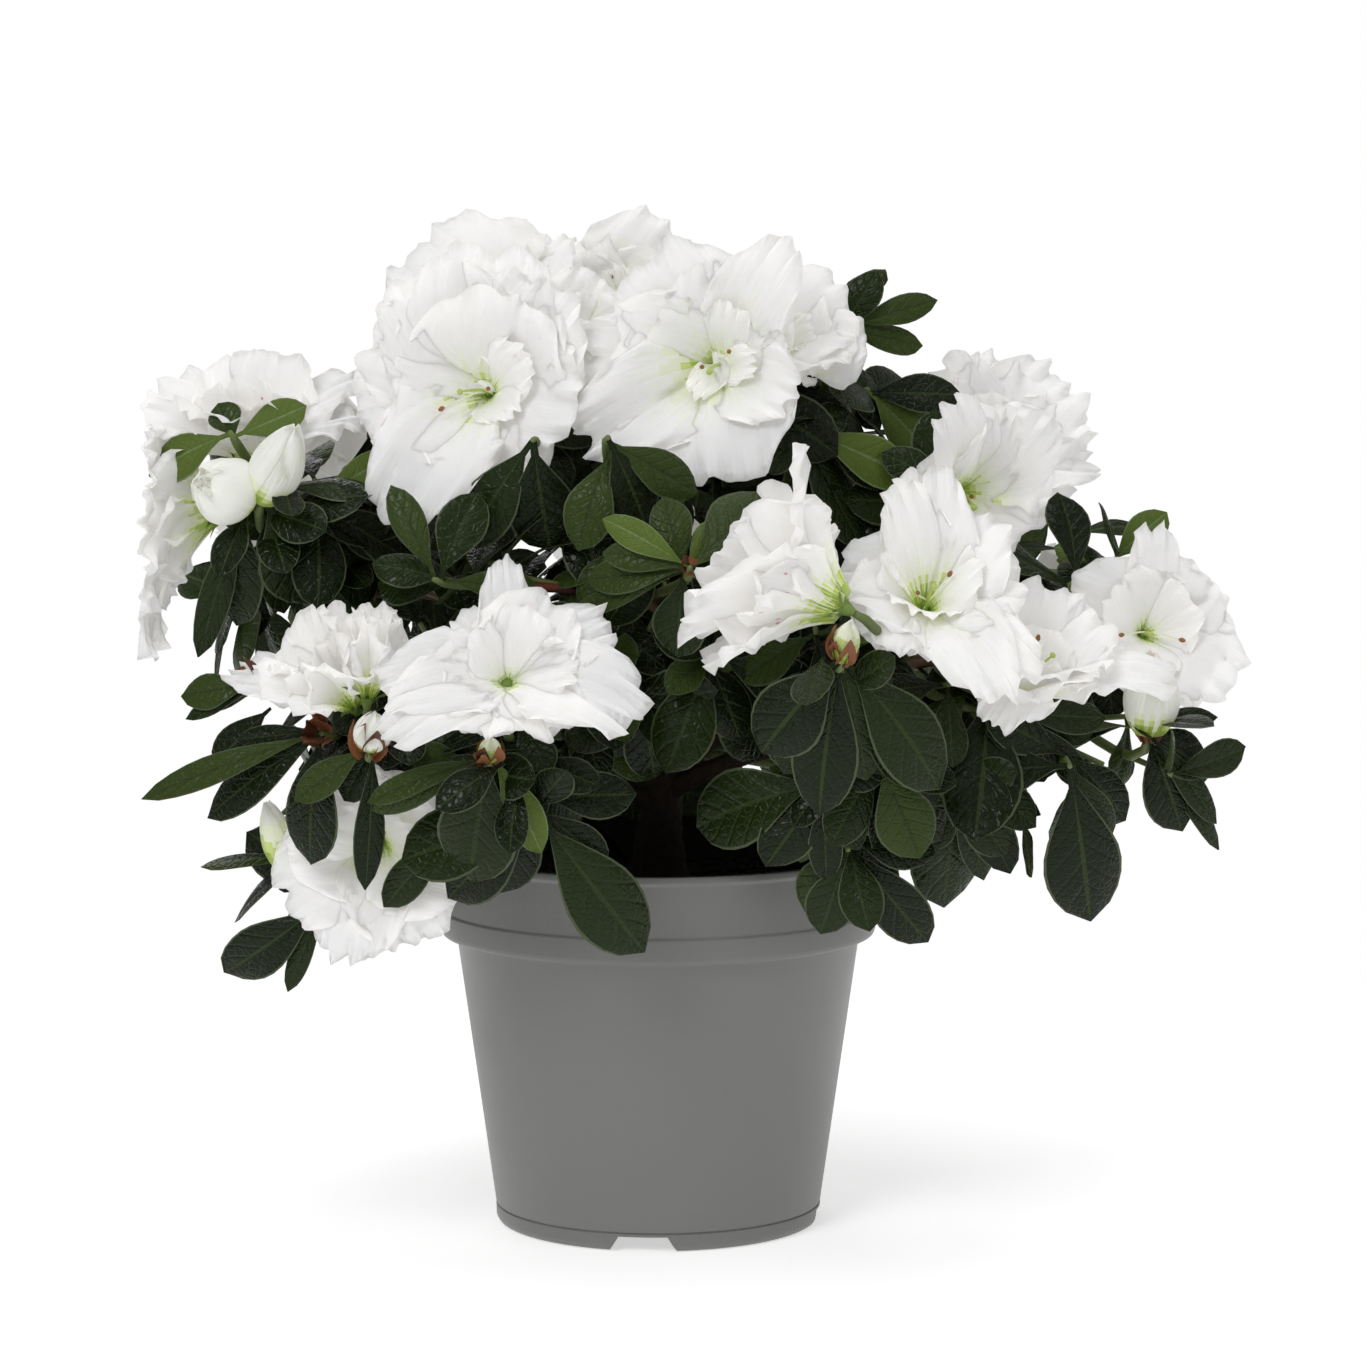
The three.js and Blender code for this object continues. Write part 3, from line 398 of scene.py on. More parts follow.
# a closed thin blade from a grid of its upper side, with the kinds of the faces above and below
def addBlade(heap, grid, u, v, thickness, upperKinds, lowerKinds):
    rows, columns = grid.shape[:2]
    lower = grid - gridNormals(grid) * thickness
    upperIndex = np.arange(rows * columns).reshape(rows, columns)
    lowerIndex = upperIndex.copy()
    inner = (slice(1, -1), slice(1, -1))
    lowerIndex[inner] = rows * columns + np.arange((rows - 2) * (columns - 2)).reshape(rows - 2, columns - 2)
    points = np.concatenate([grid.reshape(-1, 3), lower[inner].reshape(-1, 3)])
    cells = bandFaces(upperIndex)
    plans = np.stack(np.meshgrid((u + 1) / 2, v), axis=2).reshape(-1, 2)[cells]
    above = (cells, np.ravel(upperKinds), plans)
    below = (lowerIndex.ravel()[cells][:, ::-1], np.ravel(lowerKinds), plans[:, ::-1])
    addFaces(heap, points, above, below)


# the quads between neighbouring rows of a grid of point numbers
def bandFaces(index):
    corners = (index[:-1, :-1], index[:-1, 1:], index[1:, 1:], index[1:, :-1])
    return np.stack([corner.ravel() for corner in corners], axis=1)


# a closed skin over rings of points, with a point in the middle of each end and a kind for each band
def addRings(heap, rings, ends, kinds, inward=False):
    count, sides = len(rings), len(rings[0])
    index = np.arange(count * sides).reshape(count, sides)
    quads = bandFaces(np.concatenate([index, index[:, :1]], axis=1))
    kinds = np.broadcast_to(kinds, (count - 1,))
    here, after = index[0], np.roll(index[0], -1)
    foot, tip = np.full(sides, count * sides), np.full(sides, count * sides + 1)
    top = index[-1, 0]
    caps = np.concatenate([np.stack([after, here, foot], 1), np.stack([top + here, top + after, tip], 1)])
    if inward:
        quads, caps = quads[:, [1, 0, 3, 2]], caps[:, [1, 0, 2]]
    capKinds = np.repeat(kinds[[0, -1]], sides)
    addFaces(heap, np.concatenate([*rings, ends]), (quads, np.repeat(kinds, sides), None), (caps, capKinds, None))


# a closed tube along points, with a radius at each
def addTube(heap, centres, radii, sides, kinds, relief=0, seed=0):
    centres = np.asarray(centres, float)
    radii = np.broadcast_to(np.asarray(radii, float), (len(centres),))
    tangents = np.gradient(centres, axis=0)
    tangents /= np.maximum(np.linalg.norm(tangents, axis=1, keepdims=True), 1e-9)
    first = np.array([0.31, 0.17, 0.93])
    rings = []
    angles = np.arange(sides) / sides * fullTurn
    for centre, radius, tangent in zip(centres, radii, tangents):
        first = acrossFrom(tangent, first)
        ring = np.outer(np.cos(angles), first) + np.outer(np.sin(angles), np.cross(tangent, first))
        bumps = [1 + relief * barkRelief(centre + d * radius, seed) for d in ring] if relief else np.ones(sides)
        rings.append(centre + ring * (radius * np.array(bumps))[:, None])
    addRings(heap, rings, centres[[0, -1]], kinds)


def barkRelief(point, seed):
    place = Vector(point) * 0.42 + Vector((seed * 7.3, 0, 0))
    return noise.fractal(place, 0.9, 2.2, 3) * 0.9


def addObject(name, data):
    made = bpy.data.objects.new(name, data)
    bpy.context.scene.collection.objects.link(made)
    return made


def makeShape(name, heap, materials, sharpOver=None):
    mesh = bpy.data.meshes.new(name)
    points = np.concatenate(heap["points"]) * mm
    totals = np.concatenate([np.full(len(f), f.shape[1]) for f in heap["faces"]])
    mesh.vertices.add(len(points))
    mesh.vertices.foreach_set("co", points.ravel())
    mesh.loops.add(totals.sum())
    mesh.loops.foreach_set("vertex_index", np.concatenate([f.ravel() for f in heap["faces"]]))
    mesh.polygons.add(len(totals))
    mesh.polygons.foreach_set("loop_start", np.concatenate([[0], np.cumsum(totals)[:-1]]))
    mesh.polygons.foreach_set("material_index", np.concatenate(heap["kinds"]))
    mesh.update(calc_edges=True)
    layer = mesh.uv_layers.new(name="plan")
    layer.data.foreach_set("uv", np.concatenate([p.ravel() for p in heap["plans"]]))
    mesh.shade_smooth()
    if sharpOver:
        mesh.set_sharp_from_angle(angle=math.radians(sharpOver))
    for material in materials:
        mesh.materials.append(material)
    return addObject(name, mesh)


# a piece of the plant or the pot, with the finish that it takes and the solids that it stands for
def makePiece(name, heap, materials, solids=(), sharpOver=None):
    piece = makeShape(name, heap, materials, sharpOver)
    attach(piece, "root")
    if solids:
        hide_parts(*solids)
    print("made", name, "with", len(piece.data.loops) - 2 * len(piece.data.polygons), "triangles")
    return piece


def newMaterial(name, colour, roughness):
    material = bpy.data.materials.new(name)
    material.use_nodes = True
    setShader(material, {"Base Color": (*colour, 1), "Roughness": roughness})
    return material


def shaderOf(material):
    return material.node_tree.nodes["Principled BSDF"]


def setShader(material, values):
    for name, value in values.items():
        shaderOf(material).inputs[name].default_value = value


def addNode(owner, kind, *sources, **settings):
    node = owner.node_tree.nodes.new(kind)
    for name, value in settings.items():
        if name in node.inputs:
            node.inputs[name].default_value = value
        else:
            setattr(node, name, value)
    for i, source in enumerate(sources):
        if isinstance(source, (int, float)):
            node.inputs[i].default_value = source
        else:
            link(owner, source, node.inputs[i])
    return node


def link(owner, source, target):
    owner.node_tree.links.new(source, target)


def mathNode(material, operation, *values):
    return addNode(material, "ShaderNodeMath", *values, operation=operation).outputs[0]


def ramp(material, value, *fromTo):
    return addNode(material, "ShaderNodeMapRange", value, *fromTo, interpolation_type="SMOOTHSTEP").outputs["Result"]


def solidPlace(material):
    return addNode(material, "ShaderNodeTexCoord").outputs["Object"]


def planPlace(material):
    return addNode(material, "ShaderNodeUVMap", uv_map="plan").outputs["UV"]


def noiseNode(material, place, scale, detail=3.0):
    return addNode(material, "ShaderNodeTexNoise", place, Scale=scale, Detail=detail).outputs["Fac"]


def setBump(material, height, distance, strength=1.0):
    bump = addNode(material, "ShaderNodeBump", Strength=strength, Distance=distance)
    link(material, height, bump.inputs["Height"])
    link(material, bump.outputs["Normal"], shaderOf(material).inputs["Normal"])


def setRoughness(material, value, low, high):
    link(material, ramp(material, value, 0.3, 0.7, low, high), shaderOf(material).inputs["Roughness"])


# a leaf's skin: side veins that rise towards the margin, and a fine net of veins between them
def leafMaterial(name, colour, rough, veins=0.45):
    material = newMaterial(name, colour, rough)
    setShader(material, {"Specular IOR Level": 0.16})
    split = addNode(material, "ShaderNodeSeparateXYZ", planPlace(material))
    across = mathNode(material, "ABSOLUTE", mathNode(material, "SUBTRACT", split.outputs["X"], 0.5))
    rising = mathNode(material, "MULTIPLY_ADD", across, -3.2, mathNode(material, "MULTIPLY", split.outputs["Y"], 7.0))
    side = ramp(material, mathNode(material, "PINGPONG", rising, 0.5), 0.0, 0.16)
    place = solidPlace(material)
    net = addNode(material, "ShaderNodeTexVoronoi", place, Scale=520.0, feature="DISTANCE_TO_EDGE")
    cells = ramp(material, net.outputs["Distance"], 0.0, 0.16)
    height = mathNode(material, "MULTIPLY_ADD", cells, 0.35, mathNode(material, "MULTIPLY", side, 0.65))
    height = mathNode(material, "MULTIPLY_ADD", noiseNode(material, place, 160.0), 0.8, height)
    setBump(material, height, 0.0008, veins)
    setRoughness(material, noiseNode(material, place, 90.0), rough - 0.07, rough + 0.1)
    return material


# a petal's skin: fine lines that run along it, a soft crumple, some light that comes through from petal to petal, and
# a faint glow in its own colour, painted light that brightens the petals where they lie in shade
def petalMaterial(name, colour):
    material = newMaterial(name, colour, 0.5)
    setShader(material, {
        "Subsurface Weight": 0.7,
        "Subsurface Radius": (1.0, 0.95, 0.85),
        "Subsurface Scale": 0.0022,
        # a faint glow in the petal's own colour: painted light that lifts its shaded folds
        "Emission Color": (*colour, 1),
        "Emission Strength": 0.09,
        "Specular IOR Level": 0.25,
    })
    stretched = addNode(material, "ShaderNodeMapping", planPlace(material), Scale=(15.0, 1.6, 1.0)).outputs["Vector"]
    crumple = noiseNode(material, solidPlace(material), 190.0, 2.0)
    lines = noiseNode(material, stretched, 1.6, 2.0)
    setBump(material, mathNode(material, "MULTIPLY_ADD", crumple, 0.9, lines), 0.0008, 0.42)
    return material


def plainMaterial(name, colour, rough, scale, distance, strength=0.5):
    material = newMaterial(name, colour, rough)
    grain = noiseNode(material, solidPlace(material), scale)
    setBump(material, grain, distance, strength)
    setRoughness(material, grain, rough - 0.06, rough + 0.08)
    return material


kindOf = {}  # each material's number in its own piece


def palette(*groups):
    materials = []
    for make, looks in groups:
        for name, look in looks.items():
            kindOf[name] = len(materials)
            materials.append(make(name, *look))
    return materials


leafLooks = palette((leafMaterial, {
    "leafDeep": ((0.006, 0.0115, 0.0017), 0.22),
    "leafDark": ((0.011, 0.0202, 0.0026), 0.25),
    "leafMid": ((0.029, 0.048, 0.007), 0.31),
    "leafFresh": ((0.083, 0.125, 0.02), 0.42, 0.3),
    "ribDark": ((0.021, 0.036, 0.008), 0.4),
    "ribFresh": ((0.13, 0.19, 0.07), 0.45),
    "underDark": ((0.062, 0.088, 0.034), 0.58, 0.5),
    "underFresh": ((0.115, 0.165, 0.06), 0.58, 0.4),
}), (plainMaterial, {
    "marginDark": ((0.042, 0.06, 0.02), 0.6, 900.0, 0.0003),
    "marginFresh": ((0.12, 0.17, 0.06), 0.6, 900.0, 0.0003),
}))
petalLooks = palette((petalMaterial, {
    "petalWhite": ((0.9, 0.885, 0.865),),
    "petalCream": ((0.87, 0.875, 0.79),),
    "petalPale": ((0.8, 0.84, 0.6),),
    "petalLime": ((0.55, 0.65, 0.22),),
    "petalGreen": ((0.33, 0.45, 0.07),),
    "petalFleck": ((0.8, 0.36, 0.47),),
    "petalBlush": ((0.83, 0.75, 0.67),),
}))
trimLooks = palette((leafMaterial, {
    "sepal": ((0.17, 0.25, 0.06), 0.5, 0.2),
}), (plainMaterial, {
    "scale": ((0.19, 0.062, 0.018), 0.6, 700.0, 0.0004),
    "scaleDark": ((0.09, 0.028, 0.012), 0.62, 700.0, 0.0004),
    "filament": ((0.78, 0.8, 0.62), 0.5, 600.0, 0.0001),
    "pistil": ((0.42, 0.52, 0.12), 0.45, 600.0, 0.0001),
    "anther": ((0.27, 0.11, 0.03), 0.55, 1500.0, 0.0003),
}))
shootLooks = palette((plainMaterial, {
    "shootGreen": ((0.12, 0.16, 0.045), 0.55, 700.0, 0.0003),
    "shootBrown": ((0.11, 0.062, 0.03), 0.65, 500.0, 0.0004),
    "shootRed": ((0.13, 0.028, 0.015), 0.5, 500.0, 0.0003),
}))
print("materials made")


trimHeap, shootHeap = newHeap(), newHeap()


# an arc that sets out one way and bends to the other, with the directions that face the inside of the bend
def arcAlong(plan, bend, v):
    forward = plan["length"] / bend * np.sin(bend * v)[:, None]
    aside = plan["length"] / bend * (1 - np.cos(bend * v))[:, None]
    normals = np.sin(bend * v)[:, None] * plan["set"] - np.cos(bend * v)[:, None] * plan["back"]
    return plan["root"] + forward * plan["set"] + aside * plan["back"], normals


blade = {
    "across": np.array([-1, -0.93, -0.6, -0.3, -0.06, 0.06, 0.3, 0.6, 0.93, 1]),
    "rows": 11,
    "petiole": 0.1,  # half width at the root, as a share of the widest
    "widest": 0.6,
    "footFullness": 0.9,  # lower is rounder
    "tipFullness": 0.6,
    "roll": 0.2,  # how far the sides bend down
    "groove": 0.35,
    "bow": 0.14,  # the most that a leaf bends sideways, as a share of its length
    "twist": 34,
    "tints": {"leafDeep": 0.46, "leafDark": 0.86, "leafMid": 1.0},  # shares of the unstated tints, added up
}


def leafGrid(plan, draw):
    u = blade["across"]
    v = np.linspace(0, 1, blade["rows"]) ** 0.92
    middle, normals = arcAlong(plan, math.radians(leaf["curl"] + (draw() - 0.35) * 30), v)
    across = np.cross(plan["set"], plan["back"])
    power = math.log(0.5) / math.log(blade["widest"])
    rise = np.clip((v - 0.05) / 0.95, 0, 1)
    fullness = np.where(v > blade["widest"], blade["tipFullness"], blade["footFullness"])
    shape = np.maximum(np.sin(math.pi * rise**power) ** fullness, blade["petiole"] * (1 - v) ** 2)
    half = np.maximum(plan["width"] / 2 * shape, 0.12)[:, None]
    middle = middle + across * ((draw() - 0.5) * blade["bow"] * plan["length"] * v * v)[:, None]
    twist = ((draw() - 0.5) * math.radians(blade["twist"]) * v)[:, None]
    turned = np.cos(twist) * across + np.sin(twist) * normals
    normals = np.cos(twist) * normals - np.sin(twist) * across
    roll, fold = blade["roll"] * (0.5 + draw()), 0.16 * draw()
    wave, phase = 0.5 * draw(), draw() * 6.28
    height = half * (fold * np.abs(u) - roll * u * u)
    height = height + wave * np.abs(u) ** 3 * np.sin(v * 11 + phase)[:, None] * np.sign(u)
    groove = np.where(np.abs(u) < 0.1, -blade["groove"], 0)
    height = height + groove * np.sin(math.pi * np.clip(v, 0.02, 0.98))[:, None]
    return middle[:, None] + turned[:, None] * (half * u)[:, :, None] + normals[:, None] * height[:, :, None], v


def addLeaf(heap, plan, draw):
    grid, v = leafGrid(plan, draw)
    pick = draw()
    tint = plan["tint"] or next(name for name, share in blade["tints"].items() if pick < share)
    age = "Fresh" if tint == "leafFresh" else "Dark"
    rows, columns = grid.shape[0] - 1, grid.shape[1] - 1
    upper = np.full((rows, columns), kindOf[tint])
    lower = np.full((rows, columns), kindOf["underFresh" if tint in ("leafFresh", "leafMid") else "underDark"])
    upper[:, columns // 2] = kindOf["rib" + age]
    lower[:, columns // 2] = kindOf["underFresh"]
    upper[1:, [0, -1]] = lower[1:, [0, -1]] = kindOf["margin" + age]
    addBlade(heap, grid[:, ::-1], blade["across"][::-1], v, leaf["thickness"], upper, lower)


petal = {
    "rows": 15,
    "columns": 33,
    "claw": 0.22,
    "thickness": 0.3,
    "statedLength": 1.1,  # shares of a stated petal's own length and width
    "statedWidth": 1.34,
    "frill": 0.045,  # height of the fine waves along the edge, as a share of the length
    "fold": 0.032,  # height of the broad folds
    "crinkle": 0.015,  # depth of the notches in the outline
    "uneven": 0.16,  # how far the grades of colour run into each other, as a share of the length
    "flecks": 2.6,  # the most on one petal
    "grades": {"petalCream": 0.66, "petalPale": 0.43, "petalLime": 0.28, "petalGreen": 0.17},  # reach from the throat
}


# A petal runs from its seat along an arc that leaves the bloom's axis at root degrees and ends at rim degrees.
def petalGrid(seat, axis, side, plan, draw):
    rows = petal["rows"]
    v = np.linspace(0, 1, rows)
    u = np.linspace(-1, 1, petal["columns"])
    length = plan["length"]
    angles = np.radians(plan["root"] + (plan["rim"] - plan["root"]) * v + plan["back"] * v**3)[:, None]
    directions = np.cos(angles) * axis + np.sin(angles) * side
    normals = np.sin(angles) * axis - np.cos(angles) * side
    steps = (directions[1:] + directions[:-1]) / 2 * length / (rows - 1)
    centre = seat + np.concatenate([np.zeros((1, 3)), np.cumsum(steps, axis=0)])
    swell = np.sin(math.pi / 2 * np.clip(v / 0.78, 0, 1)) ** 1.15
    half = (plan["width"] / 2 * (petal["claw"] + (1 - petal["claw"]) * swell))[:, None]
    # the outline's top edge rounds off towards the sides
    reach = 1 - 0.46 * np.abs(u) ** 2.8 - 0.035 * np.exp(-((u / 0.16) ** 2))
    p = [draw() * 6.283 for _ in range(7)]
    crinkle = np.sin(u * 7 + p[0]) + 0.9 * np.sin(u * 13 + p[1]) + 0.35 * np.sin(u * 21 + p[5])
    reach = reach + petal["crinkle"] * crinkle * (0.5 + plan["ruffle"])
    uu, vv = np.meshgrid(u, v)
    edge = np.maximum(np.abs(uu) ** 6 * smooth(vv * 1.6), vv**7)
    mid = smooth(vv * 1.5)
    waves = plan["waves"] * math.pi
    ruffle = np.sin(waves * uu + 1.2 * vv + p[2]) + 0.6 * np.sin(waves * 1.7 * uu - 3.0 * vv + p[3])
    ruffle = edge * (ruffle + 0.9 * np.abs(uu) ** 4 * np.sin(17 * vv + p[4]))
    broad = mid * (np.sin(1.3 * math.pi * uu + p[5]) + 0.5 * np.sin(4.0 * vv + p[6]))
    height = half * plan["cup"] * (1 - 0.7 * vv) * uu * uu * 1.6
    height = height + length * plan["ruffle"] * (petal["frill"] * ruffle + petal["fold"] * broad)
    height = height - 0.18 * np.exp(-((uu / 0.14) ** 2)) * mid
    # each column is drawn in from the top edge by its reach
    rowAt = vv * (1 + (reach - 1)[None, :] * smooth(vv * 1.3)) * (rows - 1)
    low = np.clip(np.floor(rowAt).astype(int), 0, rows - 2)
    share = (rowAt - low)[:, :, None]
    spots = centre[low] * (1 - share) + centre[low + 1] * share
    normals = normals[low] * (1 - share) + normals[low + 1] * share
    return spots + np.cross(axis, side) * (half * uu)[:, :, None] + normals * height[:, :, None], u, v


# the grades of colour from the throat to the edge; green is how strongly they show
def petalColours(rows, columns, green, draw):
    uneven = np.array([draw() - 0.5 for _ in range(columns)]) * petal["uneven"]
    v = (np.arange(rows) + 0.5)[:, None] / rows + uneven
    kinds = np.full((rows, columns), kindOf["petalWhite"])
    for name, share in petal["grades"].items():
        kinds[v < share * green] = kindOf[name]
    return kinds


# a fleck is a sliver that lies on the petal and points along it
def addFlecks(heap, grid, flecks, draw):
    normals = gridNormals(grid)
    for _ in range(int(petal["flecks"] * flecks * draw())):
        r = int(lerp(0.4, 0.92, draw()) * (petal["rows"] - 1))
        c = int(lerp(0.12, 0.88, draw()) * (petal["columns"] - 1))
        here, normal = grid[r, c], normals[r, c]
        forward = unit(grid[r, c] - grid[r - 1, c])
        aside = np.cross(normal, forward)
        length, width = lerp(0.7, 1.9, draw() ** 2), lerp(0.28, 0.55, draw())
        ring = [forward * length, aside * width, -forward * length, -aside * width]
        points = [here + d + normal * 0.04 for d in ring] + [here + normal * 0.16, here - normal * 0.16]
        faces = [(i, (i + 1) % 4, 4) for i in range(4)] + [((i + 1) % 4, i, 5) for i in range(4)]
        addFaces(heap, points, (faces, kindOf["petalFleck"], None))


def addPetal(heap, seat, axis, side, plan, draw):
    # each petal is turned a little about its own middle line
    rim = math.radians(plan["rim"])
    tip = unit(axis * math.cos(rim) + side * math.sin(rim))
    axis = unit(axis + np.cross(tip, axis) * (draw() - 0.5) * plan["turn"])
    grid, u, v = petalGrid(seat, axis, acrossFrom(axis, side), plan, draw)
    kinds = petalColours(petal["rows"] - 1, petal["columns"] - 1, plan["green"], draw)
    addBlade(heap, grid, u, v, petal["thickness"], kinds, kinds)
    addFlecks(heap, grid, plan["flecks"], draw)


# Whorls of a double bloom from the outside in: petals, length and width as shares of the bloom's size,
# direction at the rim as a share of the outer one's, root direction, ruffle.
whorls = [
    (5, 0.6, 0.76, 1.0, 26, 0.9),
    (5, 0.5, 0.58, 0.84, 20, 1.0),
    (3, 0.34, 0.34, 0.6, 12, 1.2),
]
sepals = 5  # under a bloom or bud


def addBloom(petals, seat, axis, phase, head, draw):
    size, openness, stated = head["bloom"], head["openness"], head.get("petals", [])
    sideAt = sidesOf(axis)
    rim = 18 + 76 * openness
    same = dict(green=head.get("green", 0.75), flecks=head.get("flecks", 1))
    layers = head.get("whorls", 0 if stated else len(whorls))
    for layer, (count, length, width, share, root, ruffle) in enumerate(whorls[:layers]):
        for i in range(count):
            turn = phase + (i + 0.5 * (layer % 2)) / count * fullTurn + (draw() - 0.5) * 0.35
            plan = dict(
                length=size * length * lerp(0.84, 1.12, draw()),
                width=size * width * lerp(0.8, 1.2, draw()),
                root=root,
                rim=rim * share * lerp(0.78, 1.16, draw()),
                back=lerp(6, 34, draw()) * (1 if layer < 2 else -0.4),
                ruffle=ruffle * (0.7 + 0.6 * draw()),
                waves=lerp(4.5, 6.5, draw()),
                cup=lerp(0.12, 0.4, draw()),
                turn=0.5,
                **same,
            )
            addPetal(petals, seat + sideAt(turn) * (0.9 - 0.2 * layer), axis, sideAt(turn), plan, draw)
    for clock, length, width, rim in stated:
        side = sideAt(-math.radians(clock))
        plan = dict(
            length=length * petal["statedLength"],
            width=width * petal["statedWidth"],
            root=min(34, 0.45 * rim),
            rim=rim,
            back=lerp(0, 26, draw()) * rim / 90,
            ruffle=0.95,
            waves=lerp(4.2, 6.2, draw()),
            cup=lerp(0.1, 0.35, draw()),
            turn=0.25,
            **same,
        )
        addPetal(petals, seat + side * 0.9, axis, side, plan, draw)
    if openness > 0.8 and head.get("stamens", True):
        addStamens(seat, axis, sideAt, size, phase, draw)
    for i in range(sepals):
        side = sideAt(phase + i / sepals * fullTurn + 0.3)
        plan = smallPlan(seat - axis * 1.2 + side * 1.2, unit(axis * 0.75 + side * 0.66), axis * 0.4 - side,
                         lerp(5, 8, draw()), 2.6)
        addSmallBlade(plan, "sepal")
    t = np.linspace(0, 1, 4)[:, None]
    addTube(trimHeap, seat - axis * 3.0 + axis * 4.2 * t, [0.9, 1.5, 2.1, 1.2], 8, kindOf["sepal"])


# two stamens and the pistil, each a thin line that leans out, with a knob at its end
def addStamens(seat, axis, sideAt, size, phase, draw):
    for i in range(2):
        side = sideAt(phase + i * 2.4 + draw())
        lean, length = lerp(0.12, 0.7, draw()), size * lerp(0.17, 0.3, draw())
        t = np.linspace(0, 1, 6)[:, None]
        wave = 0.08 * np.sin(t * 5 + draw() * 6)
        line = seat + axis * (length * t) + side * (length * (lean * t * t + wave))
        addTube(trimHeap, line, 0.24, 5, kindOf["filament"])
        addKnob(line, (-0.9, 0.9), [0.3, 0.62, 0.6, 0.28], 6, "anther")
    t = np.linspace(0, 1, 8)[:, None]
    line = seat + size * 0.3 * (axis * t + sideAt(phase + 1) * 0.22 * t * t)
    addTube(trimHeap, line, np.linspace(0.55, 0.3, 8), 6, kindOf["pistil"])
    addKnob(line, (-0.5, 0.7), [0.4, 0.8, 0.85, 0.4], 8, "pistil")


def addKnob(line, reach, radii, sides, kind):
    steps = np.outer(np.linspace(*reach, 4), unit(line[-1] - line[-2]))
    addTube(trimHeap, line[-1] + steps, radii, sides, kindOf[kind])


def smallPlan(root, direction, outward, length, width):
    return dict(root=root, set=direction, back=-acrossFrom(direction, outward), length=length, width=width)


# sepals and bud scales
smallBlade = {"rows": 7, "columns": 5, "thickness": 0.22, "bend": 0.5, "keel": 0.3}


def addSmallBlade(plan, kind, bend=smallBlade["bend"], keel=smallBlade["keel"]):
    u, v = np.linspace(-1, 1, smallBlade["columns"]), np.linspace(0, 1, smallBlade["rows"])
    middle, normals = arcAlong(plan, bend, v)
    across = np.cross(plan["set"], plan["back"])
    half = np.maximum(plan["width"] / 2 * np.sin(math.pi * np.clip(0.2 + 0.8 * v, 0, 1)) ** 0.8, 0.08)[:, None]
    grid = middle[:, None] + across * (half * u)[:, :, None] + normals[:, None] * (keel * half * u * u)[:, :, None]
    kinds = np.full((smallBlade["rows"] - 1, smallBlade["columns"] - 1), kindOf[kind])
    addBlade(trimHeap, grid, u, v, smallBlade["thickness"], kinds, kinds)


bud = {"closedPetals": 5, "openingPetals": 9, "closedTurn": 144, "openingTurn": 137.5, "points": 13, "tall": 1.3}


# A bud is wrapped in petals that each lap over the next; an opening bud's petals stand off at their tips.
def addBud(petals, tip, axis, head, draw):
    sideAt = sidesOf(axis)
    size, opening = head["bud"], head.get("opening", 0)
    count, petalTurn = [bud[("opening" if opening else "closed") + key] for key in ("Petals", "Turn")]
    u, v = np.linspace(-1, 1, bud["points"]), np.linspace(0, 1, bud["points"])
    uu, vv = np.meshgrid(u, v)
    phase = draw() * 6.28
    for i in range(count):
        layer = i / count
        spread = math.radians(lerp(95, 70, layer)) * (1 - 0.25 * (1 - vv) ** 2)
        angle = phase + i * math.radians(petalTurn) + uu * spread
        closed = size / 2 * np.maximum(np.sin(math.pi * np.clip(0.12 + 0.88 * vv, 0, 1) ** 0.9), 0) ** 0.75
        flare = opening * size * 0.3 * max(0, 1 - 1.7 * layer) * vv**4
        radius = (closed * (1 - 0.3 * layer * opening) + flare) * (1 - 0.06 * layer)
        radius = radius + 0.035 * size * uu * (0.4 + 0.6 * vv) + 0.02 * size * np.sin(5 * uu + i) * vv**3
        top = size * head.get("tall", bud["tall"]) * (1 - 0.1 * uu * uu * vv - 0.1 * layer)
        edge = 0.03 * size * vv**5 * np.sin(7 * uu + i * 2.1) * (1 + 2 * opening)
        along = top * vv * (1 - 0.12 * opening * vv) + edge - 0.6
        grid = tip + axis * along[:, :, None] + sideAt(angle[:, :, None]) * radius[:, :, None]
        kinds = petalColours(bud["points"] - 1, bud["points"] - 1, head.get("green", 0.9), draw)
        kinds[kinds == kindOf["petalWhite"]] = kindOf["petalCream"]
        if head.get("blush"):
            kinds[-2:] = kindOf["petalBlush"]
        addBlade(petals, grid, u, v, petal["thickness"], kinds, kinds)
    for i in range(sepals):
        side = sideAt(phase + i / sepals * fullTurn)
        root = tip - axis * 0.8 + side * size * 0.08
        addSmallBlade(smallPlan(root, unit(axis * 0.8 + side * 0.6), side, size * 0.42, size * 0.2), "sepal", 0.7)


# papery brown scales round the foot of a bud or bloom
def addScales(foot, axis, size, count, draw):
    sideAt = sidesOf(axis)
    for i in range(count):
        side = sideAt(i * 2.4 + draw() * 1.2)
        direction = unit(axis + side * lerp(0.35, 1.1, draw()))
        kind = "scale" if draw() < 0.68 else "scaleDark"
        place = foot + side * size * 0.12 + axis * lerp(-2, 2.5, draw())
        length, width = size * lerp(0.7, 1.15, draw()), size * lerp(0.4, 0.6, draw())
        addSmallBlade(smallPlan(place, direction, side, length, width), kind, lerp(0.3, 1.0, draw()), 0.5)


def treeOf(points):
    tree = KDTree(len(points))
    for i, point in enumerate(points):
        tree.insert(point, i)
    tree.balance()
    return tree


cadPoints = {}
for name in masses:
    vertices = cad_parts["mass_" + name].data.vertices
    places = np.empty(len(vertices) * 3, np.float32)
    vertices.foreach_get("co", places)
    cadPoints[name] = places.reshape(-1, 3).astype(float) / mm
massTrees = {name: treeOf(points) for name, points in cadPoints.items()}
crownTree = treeOf(np.concatenate(list(cadPoints.values())))

